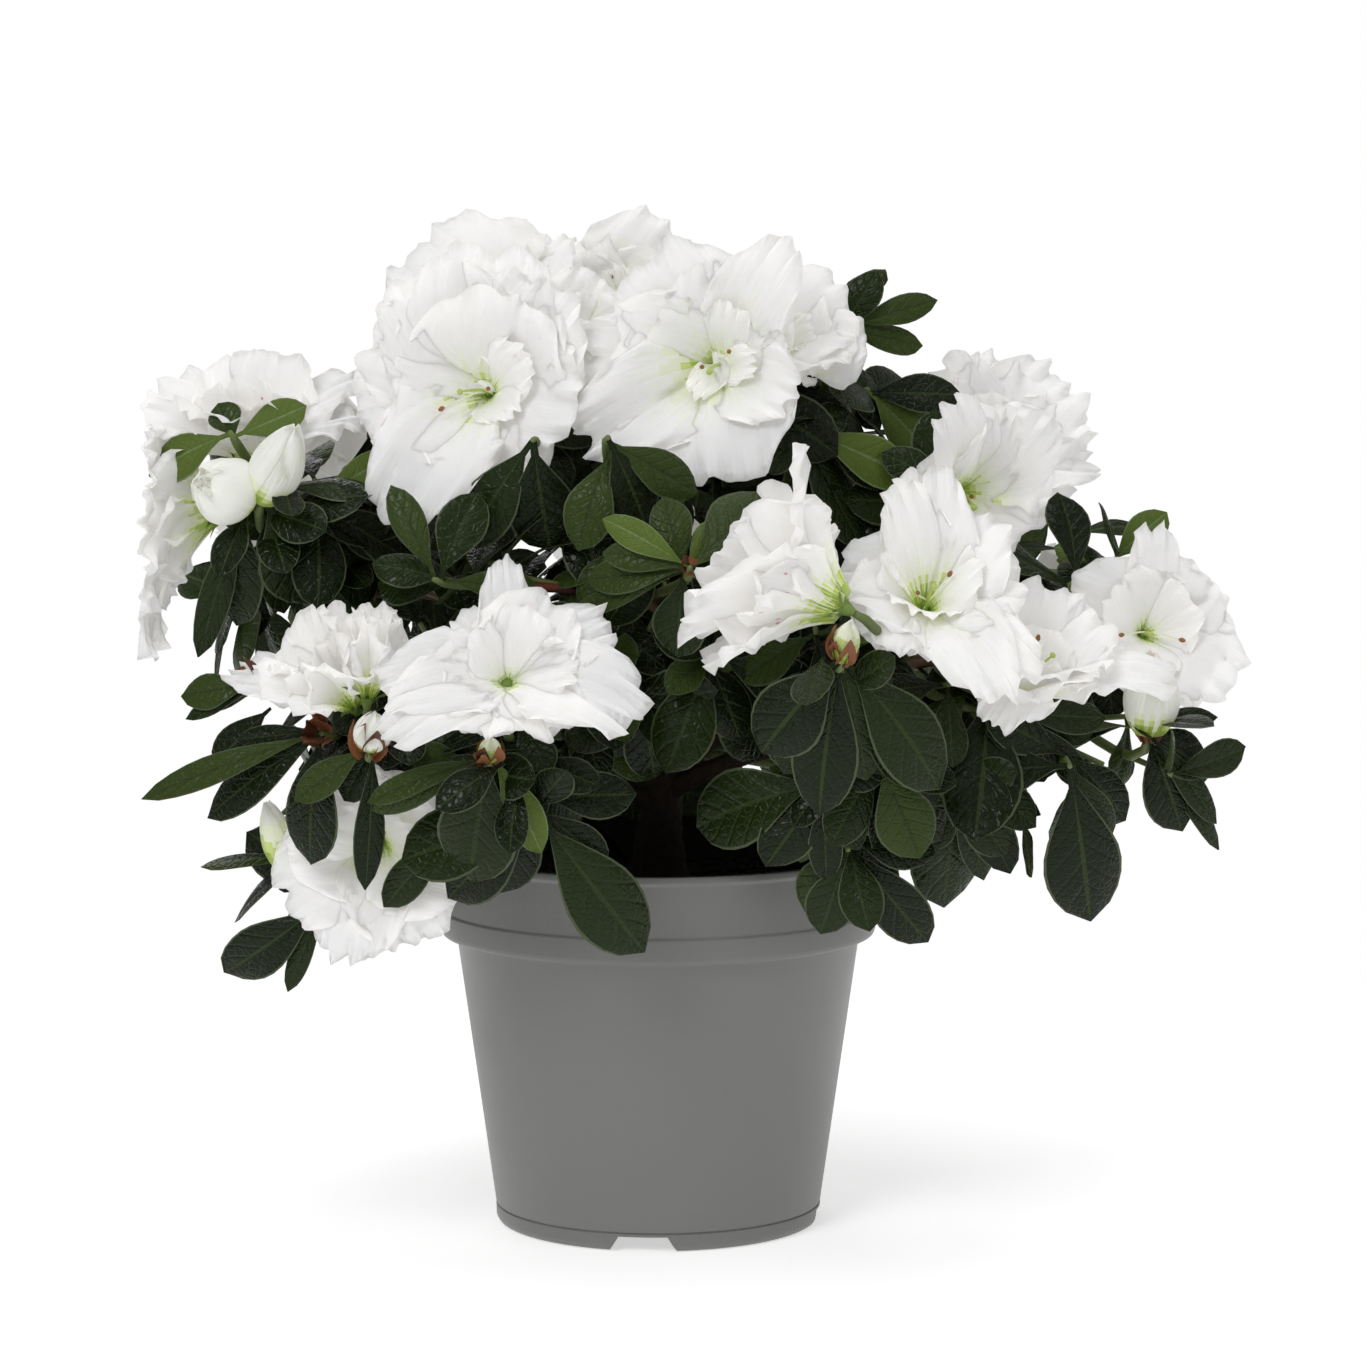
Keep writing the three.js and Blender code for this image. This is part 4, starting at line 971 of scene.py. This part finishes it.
sides = {
    "left": ["left_upper", "left_front", "left_low"],
    "middle": ["top_left", "top_right", "centre", "centre_front"],
    "right": ["right_front", "right_back", "right_end", "right_low"],
    "rear_left": ["back_left", "back_low"],
    "rear_right": ["back_top", "back_middle", "back_right"],
}
sideOf = {part: side for side, parts in sides.items() for part in parts}
leafHeaps = {side: newHeap() for side in sides}
petalHeaps = {side: newHeap() for side in sides}
touching = 0.3  # the most between a solid and the tip of a leaf that it has
blooms = []  # seat, axis and size of each, so that added leaves keep out of its face
leafSpots = []  # sample points on each leaf, so that added leaves keep clear of it


def leafMiddle(plan, t):
    return arcAlong(plan, math.radians(leaf["curl"]), np.array(t))[0]


def leafSamples(plan):
    middle = leafMiddle(plan, [0.3, 0.52, 0.74, 0.96])
    half = np.cross(plan["set"], plan["back"]) * (plan["width"] / 2 * np.array([0.6, 0.95, 0.85, 0.2]))[:, None]
    return np.concatenate([middle + half * s for s in (-0.85, 0, 0.85)])


def plantLeaf(name, plan, draw):
    addLeaf(leafHeaps[sideOf[name]], plan, draw)
    leafSpots.append(leafSamples(plan))


# A seeded leaf is one that the solid has too if its tip lies on the solid.
def isInSolid(name, plan):
    return massTrees[name].find(leafMiddle(plan, [1.0])[0])[2] < touching


def growHead(name, mass, head, share, seed):
    draw, looks = randomStream(seed), randomStream(40000 + seed)
    aim = head["aim"] if "aim" in head else facing(head["face"])
    phase = draw() * fullTurn
    size = head.get("bloom")
    end = np.array(head["at"], float) - (aim * bloomSeat["depth"] * size if size else 0)
    line = twigCurve(pointAt(mass["curve"], share), tangentAt(mass["curve"], share), end, aim)
    radii = np.linspace(twig["footRadius"], twig["tipRadius"], twig["rings"])
    radii[-1] *= 0.5  # rounds the tip
    kinds = np.full(twig["rings"] - 1, kindOf["shootGreen"])
    kinds[:twig["brownBands"]] = kindOf["shootBrown"]
    if looks() < 0.3:
        kinds[3:8] = kindOf["shootRed"]
    addTube(shootHeap, pointAt(line, np.linspace(0, 1, twig["rings"])), radii, twig["sides"], kinds)
    shoot = unit(end - pointAt(line, 0.5))
    tip = end - shoot * (bloomSeat["stalk"] if size else 0)
    ruff = {**head, "tip": tip, "shoot": shoot, "aim": aim, "phase": phase, "draw": draw, "looks": looks, "line": line}
    petals = petalHeaps[sideOf[name]]
    if size:
        blooms.append((end, aim, size))
        axis = facing(head["turned"]) if "turned" in head else aim
        seat = end + up * head.get("raised", 0)
        addTube(shootHeap, [end - aim * 2, (end + seat) / 2, seat], 1.2, 6, kindOf["shootGreen"])
        addBloom(petals, seat, axis, phase, head, looks)
    if "bud" in head:
        addBud(petals, end, aim, head, looks)
    if "scales" in head:
        addScales(end - aim * 1.5, aim, head.get("scaleSize", 8.5), head["scales"], looks)
    for k in range(len(head.get("fan", []))):
        plantLeaf(name, fanLeaf(ruff, k), looks)
    return ruff


ruffs = {}
for index, (name, mass) in enumerate(masses.items()):
    curve = mass["curve"] = boughCurve(mass["hub"])
    line = pointAt(curve, np.linspace(bough["share"] + gap / curve["lengths"][-1], 1, stem["rings"]))
    radii = np.linspace(bough["tipRadius"], stem["tipRadius"], stem["rings"])
    addTube(shootHeap, line, radii, stem["sides"], kindOf["shootBrown"])
    heads = mass["heads"] + fillerHeads(mass, randomStream(1000 + index))
    shares = np.linspace(twig["firstFork"], twig["lastFork"], len(heads))
    ruffs[name] = [growHead(name, mass, head, share, 100 * index + number)
                   for number, (head, share) in enumerate(zip(heads, shares))]
print("blooms and stated leaves:", len(blooms), len(leafSpots))


def growRuff(name, ruff, leaves, turns, fits, looks):
    grown = 0
    for k in range(leaves):
        for turn in turns:
            plan = ruffLeaf(ruff, k, turn, leaves)
            if fits(plan):
                plantLeaf(name, plan, looks)
                grown += 1
                break
    return grown


turns = [attempt * leaf["tryTurn"] for attempt in range(leaf["tries"])]
for name in masses:
    for ruff in ruffs[name]:
        growRuff(name, ruff, ruff["leaves"], turns, lambda plan: isInSolid(name, plan), ruff["looks"])
print("leaves that the solids have:", len(leafSpots))

# Finer growth: more leaves on each shoot, and side shoots along the twigs and stems. An added leaf stays
# within the reach of the solids, out of the faces of the blooms and clear of the leaves that are there.
finer = {
    "ruffLeaves": 5,
    "ruffReach": 0.8,
    "twigShoots": (0.35, 0.55, 0.75),
    "stemShoots": (0.3, 0.42, 0.54, 0.66, 0.78, 0.9),
    "shootLength": (9, 22),
    "shootLeaves": 6,
    "shootReach": 0.72,
    "turns": (0.9, 1.4, 1.9),
    "within": 13,
    "clear": 2.4,
    "faceDepth": 55,
    "offRim": 1.5,
    "overSoil": 4,
}


def hasRoom(plan):
    spots = leafSamples(plan)
    if any(crownTree.find(spot)[2] > finer["within"] for spot in spots[[1, 3, 7, 11]]):
        return False
    outwards, heights = np.hypot(spots[:, 0], spots[:, 1]), spots[:, 2]
    if np.any((outwards < pot["rimRadius"] + finer["offRim"]) & (heights <= pot["height"])):
        return False
    if heights.min() < soilTop + finer["overSoil"] and outwards.min() < pot["rimRadius"]:
        return False
    for seat, axis, size in blooms:
        depth = (spots - seat) @ axis
        radius = np.linalg.norm(spots - seat - np.outer(depth, axis), axis=1)
        if np.any((depth > 0.02 * size) & (depth < finer["faceDepth"]) & (radius < size * 0.5 + 0.1 * depth)):
            return False
    others = np.concatenate(leafSpots)
    near = others[np.linalg.norm(others - spots.mean(0), axis=1) < plan["length"] + 6]
    apart = np.linalg.norm(near[:, None, :] - spots[None, 3:, :], axis=2)
    return not len(near) or apart.min() > finer["clear"]


for index, (name, mass) in enumerate(masses.items()):
    draw = randomStream(9000 + index)
    for ruff in ruffs[name]:
        more = {**ruff, "draw": draw, "reach": finer["ruffReach"], "tip": ruff["tip"] - ruff["shoot"] * 3}
        growRuff(name, more, finer["ruffLeaves"], finer["turns"], hasRoom, draw)
    lines = [(ruff["line"], share) for ruff in ruffs[name] for share in finer["twigShoots"]]
    lines += [(mass["curve"], share) for share in finer["stemShoots"]]
    for line, share in lines:
        foot = pointAt(line, share)
        aim = unit(foot - crownMiddle) * 0.7 + tangentAt(line, share) * 0.4 + swayOf(draw, 1.8) + up * 0.2
        aim = unit(aim)
        end = foot + aim * lerp(*finer["shootLength"], draw())
        sprig = dict(tip=end, shoot=aim, aim=aim, phase=draw() * 6.28, draw=draw, reach=finer["shootReach"],
                     tint=ruffs[name][0].get("tint") if draw() < 0.3 else None)
        if growRuff(name, sprig, finer["shootLeaves"], finer["turns"], hasRoom, draw) > 1:
            line = foot + (end - foot) * np.linspace(0, 1, 5)[:, None]
            addTube(shootHeap, line, np.linspace(0.9, 0.7, 5), 6, kindOf["shootGreen"])
print("leaves in all:", len(leafSpots))

sharpEdges = 62  # keeps the blades' edges crisp and their faces smooth
for side, parts in sides.items():
    for kind, heap, looks in (("leaves", leafHeaps[side], leafLooks), ("petals", petalHeaps[side], petalLooks)):
        makePiece(kind + "_" + side, heap, looks, ["mass_" + part for part in parts], sharpEdges)
makePiece("stamens_and_scales", trimHeap, trimLooks, sharpOver=sharpEdges)
makePiece("shoots", shootHeap, shootLooks)

# trunk and boughs in bark, with its relief in the mesh
bark = {"trunkRings": 34, "trunkSides": 40, "trunkRelief": 0.16, "rings": 26, "sides": 14, "relief": 0.18}
barkHeap = newHeap()
heights = np.linspace(0, trunk["height"] + 1, bark["trunkRings"])
taper = lerp(trunk["neckRadius"], trunk["tipRadius"], heights / trunk["height"])
flare = (trunk["footRadius"] - trunk["neckRadius"]) * np.exp(-heights / trunk["flare"])
trunkLine = np.stack([leanAt(heights), heights * 0, soilTop + gap + heights - 0.8], axis=1)
addTube(barkHeap, trunkLine, taper + flare, bark["trunkSides"], 0, relief=bark["trunkRelief"], seed=1)
for index, mass in enumerate(masses.values()):
    line = pointAt(mass["curve"], np.linspace(0, bough["share"], bark["rings"]))
    radii = np.linspace(bough["footRadius"], bough["tipRadius"], bark["rings"])
    addTube(barkHeap, line, radii, bark["sides"], 0, relief=bark["relief"], seed=index + 2)
barkLooks = palette((plainMaterial, {"bark": ((0.034, 0.022, 0.014), 0.85, 420.0, 0.0009, 0.8)}))
makePiece("bark_limbs", barkHeap, barkLooks, ["trunk", *["bough_" + name for name in masses]])

# The pot is turned from its section, and its notches are cut through the foot ring.
potGrey = newMaterial("potGrey", (0.158, 0.158, 0.152), 0.42)
marks = noiseNode(potGrey, solidPlace(potGrey), 24.0, 4.0)
grain = noiseNode(potGrey, solidPlace(potGrey), 1500.0, 2.0)
setBump(potGrey, mathNode(potGrey, "MULTIPLY_ADD", marks, 0.8, grain), 0.00012, 0.5)
setRoughness(potGrey, marks, 0.38, 0.47)
potBlack = plainMaterial("potBlack", (0.012, 0.012, 0.012), 0.55, 900.0, 0.0002)

collarFoot = pot["height"] - pot["collarHeight"]
collarRadius = pot["bodyTopRadius"] + pot["collarStep"]
collarInner = collarRadius - pot["wall"]
floorTop = pot["channelDepth"] + pot["wall"]
bodySlope = (pot["bodyTopRadius"] - pot["footRadius"]) / (collarFoot - pot["ringHeight"])


def innerRadius(height):
    return pot["footRadius"] - pot["wall"] + bodySlope * (height - pot["ringHeight"])


# corners of the section, each with the reach that it is rounded by
def potSection():
    foot, rim, ring = pot["footRadius"], pot["rimRadius"], pot["ringHeight"]
    top, lip, channel = pot["height"], pot["height"] - pot["lipHeight"], pot["channelDepth"]
    ringInner, band = foot - pot["ringWidth"], collarFoot + pot["collarBand"]
    outside = [
        (0, 0, 0),
        (pot["padRadius"], 0, 0.6),
        (pot["padRadius"] + 2, channel, 0.6),
        (ringInner - 1, channel, 0.6),
        (ringInner, 0, 0.4),
        (foot - 1.0, 0, 0.9),
        (foot - 0.1, 1.6, 0.6),
        (foot - 0.05, ring - 0.3, 0.15),
        (foot - 0.5, ring, 0.1),
        (foot - 0.05, ring + 0.3, 0.15),
        (pot["bodyTopRadius"], collarFoot, 0.9),
        (collarRadius - 0.3, collarFoot + 0.5, 0.7),
        (collarRadius + 0.1, collarFoot + 1.6, 0.5),
        (collarRadius + 0.4, band - 0.4, 0.3),
        (collarRadius + 0.1, band + 0.3, 0.3),
        (rim - 0.7, lip - 0.7, 0.5),
        (rim, lip - 0.1, 0.4),
        (rim - 0.1, top, 0.5),
    ]
    inside = [
        (rim - pot["rimWall"], top, 0.5),
        (collarInner, collarFoot + 2.4, 0.8),
        (innerRadius(collarFoot) - 0.2, collarFoot + 0.6, 0.6),
        (innerRadius(floorTop), floorTop, 1.5),
        (0, floorTop, 0),
    ]
    return outside, inside


def rounded(corners):
    points = [np.array(corners[0][:2], float)]
    for before, corner, after in zip(corners, corners[1:], corners[2:]):
        here = np.array(corner[:2], float)
        ways = [np.array(other[:2], float) - here for other in (before, after)]
        reach = min(corner[2], *[0.45 * np.linalg.norm(way) for way in ways])
        start, end = [here + unit(way) * reach for way in ways]
        points += [(1 - t) ** 2 * start + 2 * t * (1 - t) * here + t * t * end for t in (0, 0.33, 0.67, 1)]
    return points + [np.array(corners[-1][:2], float)]


# rings of points at stated radii and heights
def turned(section, sides):
    angles = np.arange(sides) / sides * fullTurn
    return [np.stack([r * np.cos(angles), r * np.sin(angles), np.full(sides, z)], 1) for r, z in section]


outside, inside = potSection()
section = rounded(outside + inside)
outerBands = 4 * len(outside) - 6  # four rings for each corner but the first, which lies on the axis
potHeap = newHeap()
kinds = (np.arange(len(section) - 3) >= outerBands).astype(int)
addRings(potHeap, turned(section[1:-1], pot["sides"]), [(0, 0, section[0][1]), (0, 0, section[-1][1])], kinds)
potPiece = makePiece("pot_shell", potHeap, [potGrey, potBlack], ["pot"])

# each notch's cutter is a bar with the notch's outline
cutters = newHeap()
half, halfTop, top = pot["notchWidth"] / 2, pot["notchTopWidth"] / 2, pot["channelDepth"] - 0.2
outline = [(-half - 0.6, -1), (half + 0.6, -1), (half, 0.3), (halfTop, top), (-halfTop, top), (-half, 0.3)]
reach = (pot["footRadius"] - pot["ringWidth"] - 2, pot["footRadius"] + 3)
for k in range(pot["notches"]):
    turn = math.radians(pot["notchTurn"] + 360 / pot["notches"] * k)
    radial = np.array([math.sin(turn), -math.cos(turn), 0])
    tangent = np.array([math.cos(turn), math.sin(turn), 0])
    points = [radial * d + tangent * x + up * z for d in reach for x, z in outline]
    walls = [(i, (i + 1) % 6, (i + 1) % 6 + 6, i + 6) for i in range(6)]
    addFaces(cutters, points, (walls, 0, None), ([[5, 4, 3, 2, 1, 0], [6, 7, 8, 9, 10, 11]], 0, None))
cutter = makeShape("notch_cutter", cutters, [potGrey, potBlack])
cut = potPiece.modifiers.new("notches", "BOOLEAN")
cut.object = cutter
cut.solver = "EXACT"
evaluated = potPiece.evaluated_get(bpy.context.evaluated_depsgraph_get())
newMesh = bpy.data.meshes.new_from_object(evaluated)
potPiece.modifiers.clear()
potPiece.data = newMesh
newMesh.set_sharp_from_angle(angle=math.radians(pot["sharpOver"]))
bpy.data.objects.remove(cutter)
print("pot cut:", len(newMesh.polygons), "faces")

# dark peat with crumbs and fibres on it
peat = {"rows": 42, "spokes": 110, "largest": 1.9, "smallest": 0.4, "clearOfTrunk": 9, "edgeGap": 0.35,
        "fibrePoints": 7}
soilHeap = newHeap()
draw = randomStream(77)
edgeRadius = collarInner - peat["edgeGap"]


def soilHeight(x, y):
    slope = soil["crown"] * max(math.hypot(x, y) - 11, 0) / (edgeRadius - 11)
    lumps = noise.fractal(Vector((x * 0.11, y * 0.11, 3)), 0.8, 2.1, 5) * soil["relief"]
    return soilTop - slope + lumps - 0.4


def soilSpot(inner):
    radius, turn = edgeRadius * math.sqrt(draw()) * inner, draw() * 6.283
    return radius * math.cos(turn), radius * math.sin(turn), turn


low = floorTop + gap
skirt = [(collarInner - 0.4, collarFoot + 3), (innerRadius(collarFoot) - 0.6, collarFoot + 0.8),
         (innerRadius(floorTop) - 0.4, low)]
rings = turned([(q, 0) for q in np.linspace(0.2, edgeRadius, peat["rows"])], peat["spokes"])
for ring in rings:
    ring[:, 2] = [soilHeight(x, y) for x, y, _ in ring]
rings += turned(skirt, peat["spokes"])
addRings(soilHeap, rings, [(0, 0, soilHeight(0, 0)), (0, 0, low)], 0, inward=True)

# a crumb is a lumpy ball of twenty faces
golden = (1 + 5**0.5) / 2
signs = [(s, t) for s in (-1, 1) for t in (-1, 1)]
ball = [(0, s, t * golden) for s, t in signs] + [(s, t * golden, 0) for s, t in signs]
ball = np.array(ball + [(s * golden, 0, t) for s, t in signs], float) / 1.9
ballFaces = [
    (0, 8, 2), (0, 2, 10), (0, 6, 4), (0, 4, 8), (0, 10, 6), (1, 3, 9), (1, 11, 3), (1, 4, 6), (1, 9, 4), (1, 6, 11),
    (2, 5, 7), (2, 8, 5), (2, 7, 10), (3, 7, 5), (3, 5, 9), (3, 11, 7), (4, 9, 8), (5, 8, 9), (6, 10, 11), (7, 11, 10),
]
for _ in range(soil["crumbs"]):
    x, y, turn = soilSpot(0.985)
    size = lerp(peat["smallest"], peat["largest"], draw() ** 2.2)
    if math.hypot(x, y) < peat["clearOfTrunk"]:
        continue
    lumps = np.array([lerp(0.7, 1.3, draw()) for _ in range(12)])[:, None]
    shape = ball * lumps * size * np.array([1, lerp(0.5, 1, draw()), lerp(0.4, 0.8, draw())])
    c, s = math.cos(turn * 3), math.sin(turn * 3)
    shape = shape @ np.array([[c, s, 0], [-s, c, 0], [0, 0, 1]]) + [x, y, soilHeight(x, y) + size * 0.25]
    if np.hypot(shape[:, 0], shape[:, 1]).max() <= edgeRadius - 0.1:
        addFaces(soilHeap, shape, (ballFaces, int(draw() >= 0.8), None))
for _ in range(soil["fibres"]):
    x, y, _ = soilSpot(0.8)
    heading, bend, length = draw() * 6.283, (draw() - 0.5) * 0.3, lerp(3, 10, draw())
    line = []
    for _ in range(peat["fibrePoints"]):
        line.append((x, y, soilHeight(x, y) + 0.5))
        step = length / (peat["fibrePoints"] - 1)
        x, y = x + math.cos(heading) * step, y + math.sin(heading) * step
        heading += bend
    nearest = min(math.hypot(*line[0][:2]), math.hypot(x, y))
    if math.hypot(x, y) < edgeRadius - 1 and nearest > peat["clearOfTrunk"] + 1:
        addTube(soilHeap, line, 0.25, 5, 1)
soilLooks = palette((plainMaterial, {
    "peat": ((0.0095, 0.0065, 0.0045), 0.9, 700.0, 0.0012, 0.9),
    "peatRed": ((0.03, 0.014, 0.008), 0.85, 700.0, 0.0008, 0.9),
}))
makePiece("peat_soil", soilHeap, soilLooks, ["soil"])

# Stage, lamps and camera. The floor is pale paper round the pot and turns into white light further out.
stage = {"radius": 4.0, "corners": 96, "colour": 0.9, "plainWithin": 0.15, "whiteFrom": 0.5, "glow": 0.5, "skyLight": 0.32}
lamps = {  # place, size and power; each looks at the crown
    "keyLamp": ((-0.75, -1.5, 1.35), 0.9, 15.2),
    "fillLamp": ((1.6, -1.1, 0.9), 1.2, 4.0),
    "topLamp": ((0.1, -0.2, 1.9), 1.4, 9.0),
    "backLamp": ((-0.5, 1.7, 1.3), 1.2, 6.0),
}
view = {"place": (6.76, -1239.4, 278.7), "degreesDown": 6.1, "lens": 121.83}
white = (1, 1, 1, 1)

floorColour = newMaterial("floorColour", (stage["colour"],) * 3, 0.8)
setShader(floorColour, {"Specular IOR Level": 0.1, "Emission Color": white, "Emission Strength": stage["glow"]})
away = addNode(floorColour, "ShaderNodeVectorMath", solidPlace(floorColour), operation="LENGTH").outputs["Value"]
share = ramp(floorColour, away, stage["plainWithin"], stage["whiteFrom"])
light = addNode(floorColour, "ShaderNodeEmission", Strength=1.0)
blend = addNode(floorColour, "ShaderNodeMixShader", share, shaderOf(floorColour).outputs[0], light.outputs[0])
link(floorColour, blend.outputs[0], floorColour.node_tree.nodes["Material Output"].inputs["Surface"])
floorMesh = bpy.data.meshes.new("floor")
floorEdge = turned([(stage["radius"], -0.0002)], stage["corners"])[0]
floorMesh.from_pydata(floorEdge.tolist(), [], [range(stage["corners"])])
floorMesh.materials.append(floorColour)
floor = addObject("floor", floorMesh)

# the sky lights softly, and shows as white behind the plant
sky = bpy.data.worlds.new("softSky")
bpy.context.scene.world = sky
sky.use_nodes = True
softSky = sky.node_tree.nodes["Background"]
softSky.inputs["Color"].default_value = white
softSky.inputs["Strength"].default_value = stage["skyLight"]
backdrop = addNode(sky, "ShaderNodeBackground", Color=white, Strength=1.0)
seen = addNode(sky, "ShaderNodeLightPath").outputs["Is Camera Ray"]
either = addNode(sky, "ShaderNodeMixShader", seen, softSky.outputs[0], backdrop.outputs[0])
link(sky, either.outputs[0], sky.node_tree.nodes["World Output"].inputs["Surface"])
for name, (place, size, power) in lamps.items():
    data = bpy.data.lights.new(name, "AREA")
    data.shape, data.size, data.energy = "DISK", size, power
    lamp = addObject(name, data)
    lamp.location = place
    lamp.rotation_euler = (Vector((0, 0, 0.15)) - Vector(place)).to_track_quat("-Z", "Y").to_euler()

cameraData = bpy.data.cameras.new("camera")
cameraData.lens = view["lens"]
cameraData.sensor_width = 36
camera = addObject("camera", cameraData)
camera.location = Vector(view["place"]) * mm
camera.rotation_euler = (math.radians(90 - view["degreesDown"]), 0, 0)
bpy.context.scene.camera = camera
bpy.context.scene.view_settings.view_transform = "Standard"
print("stage, lamps and camera placed")
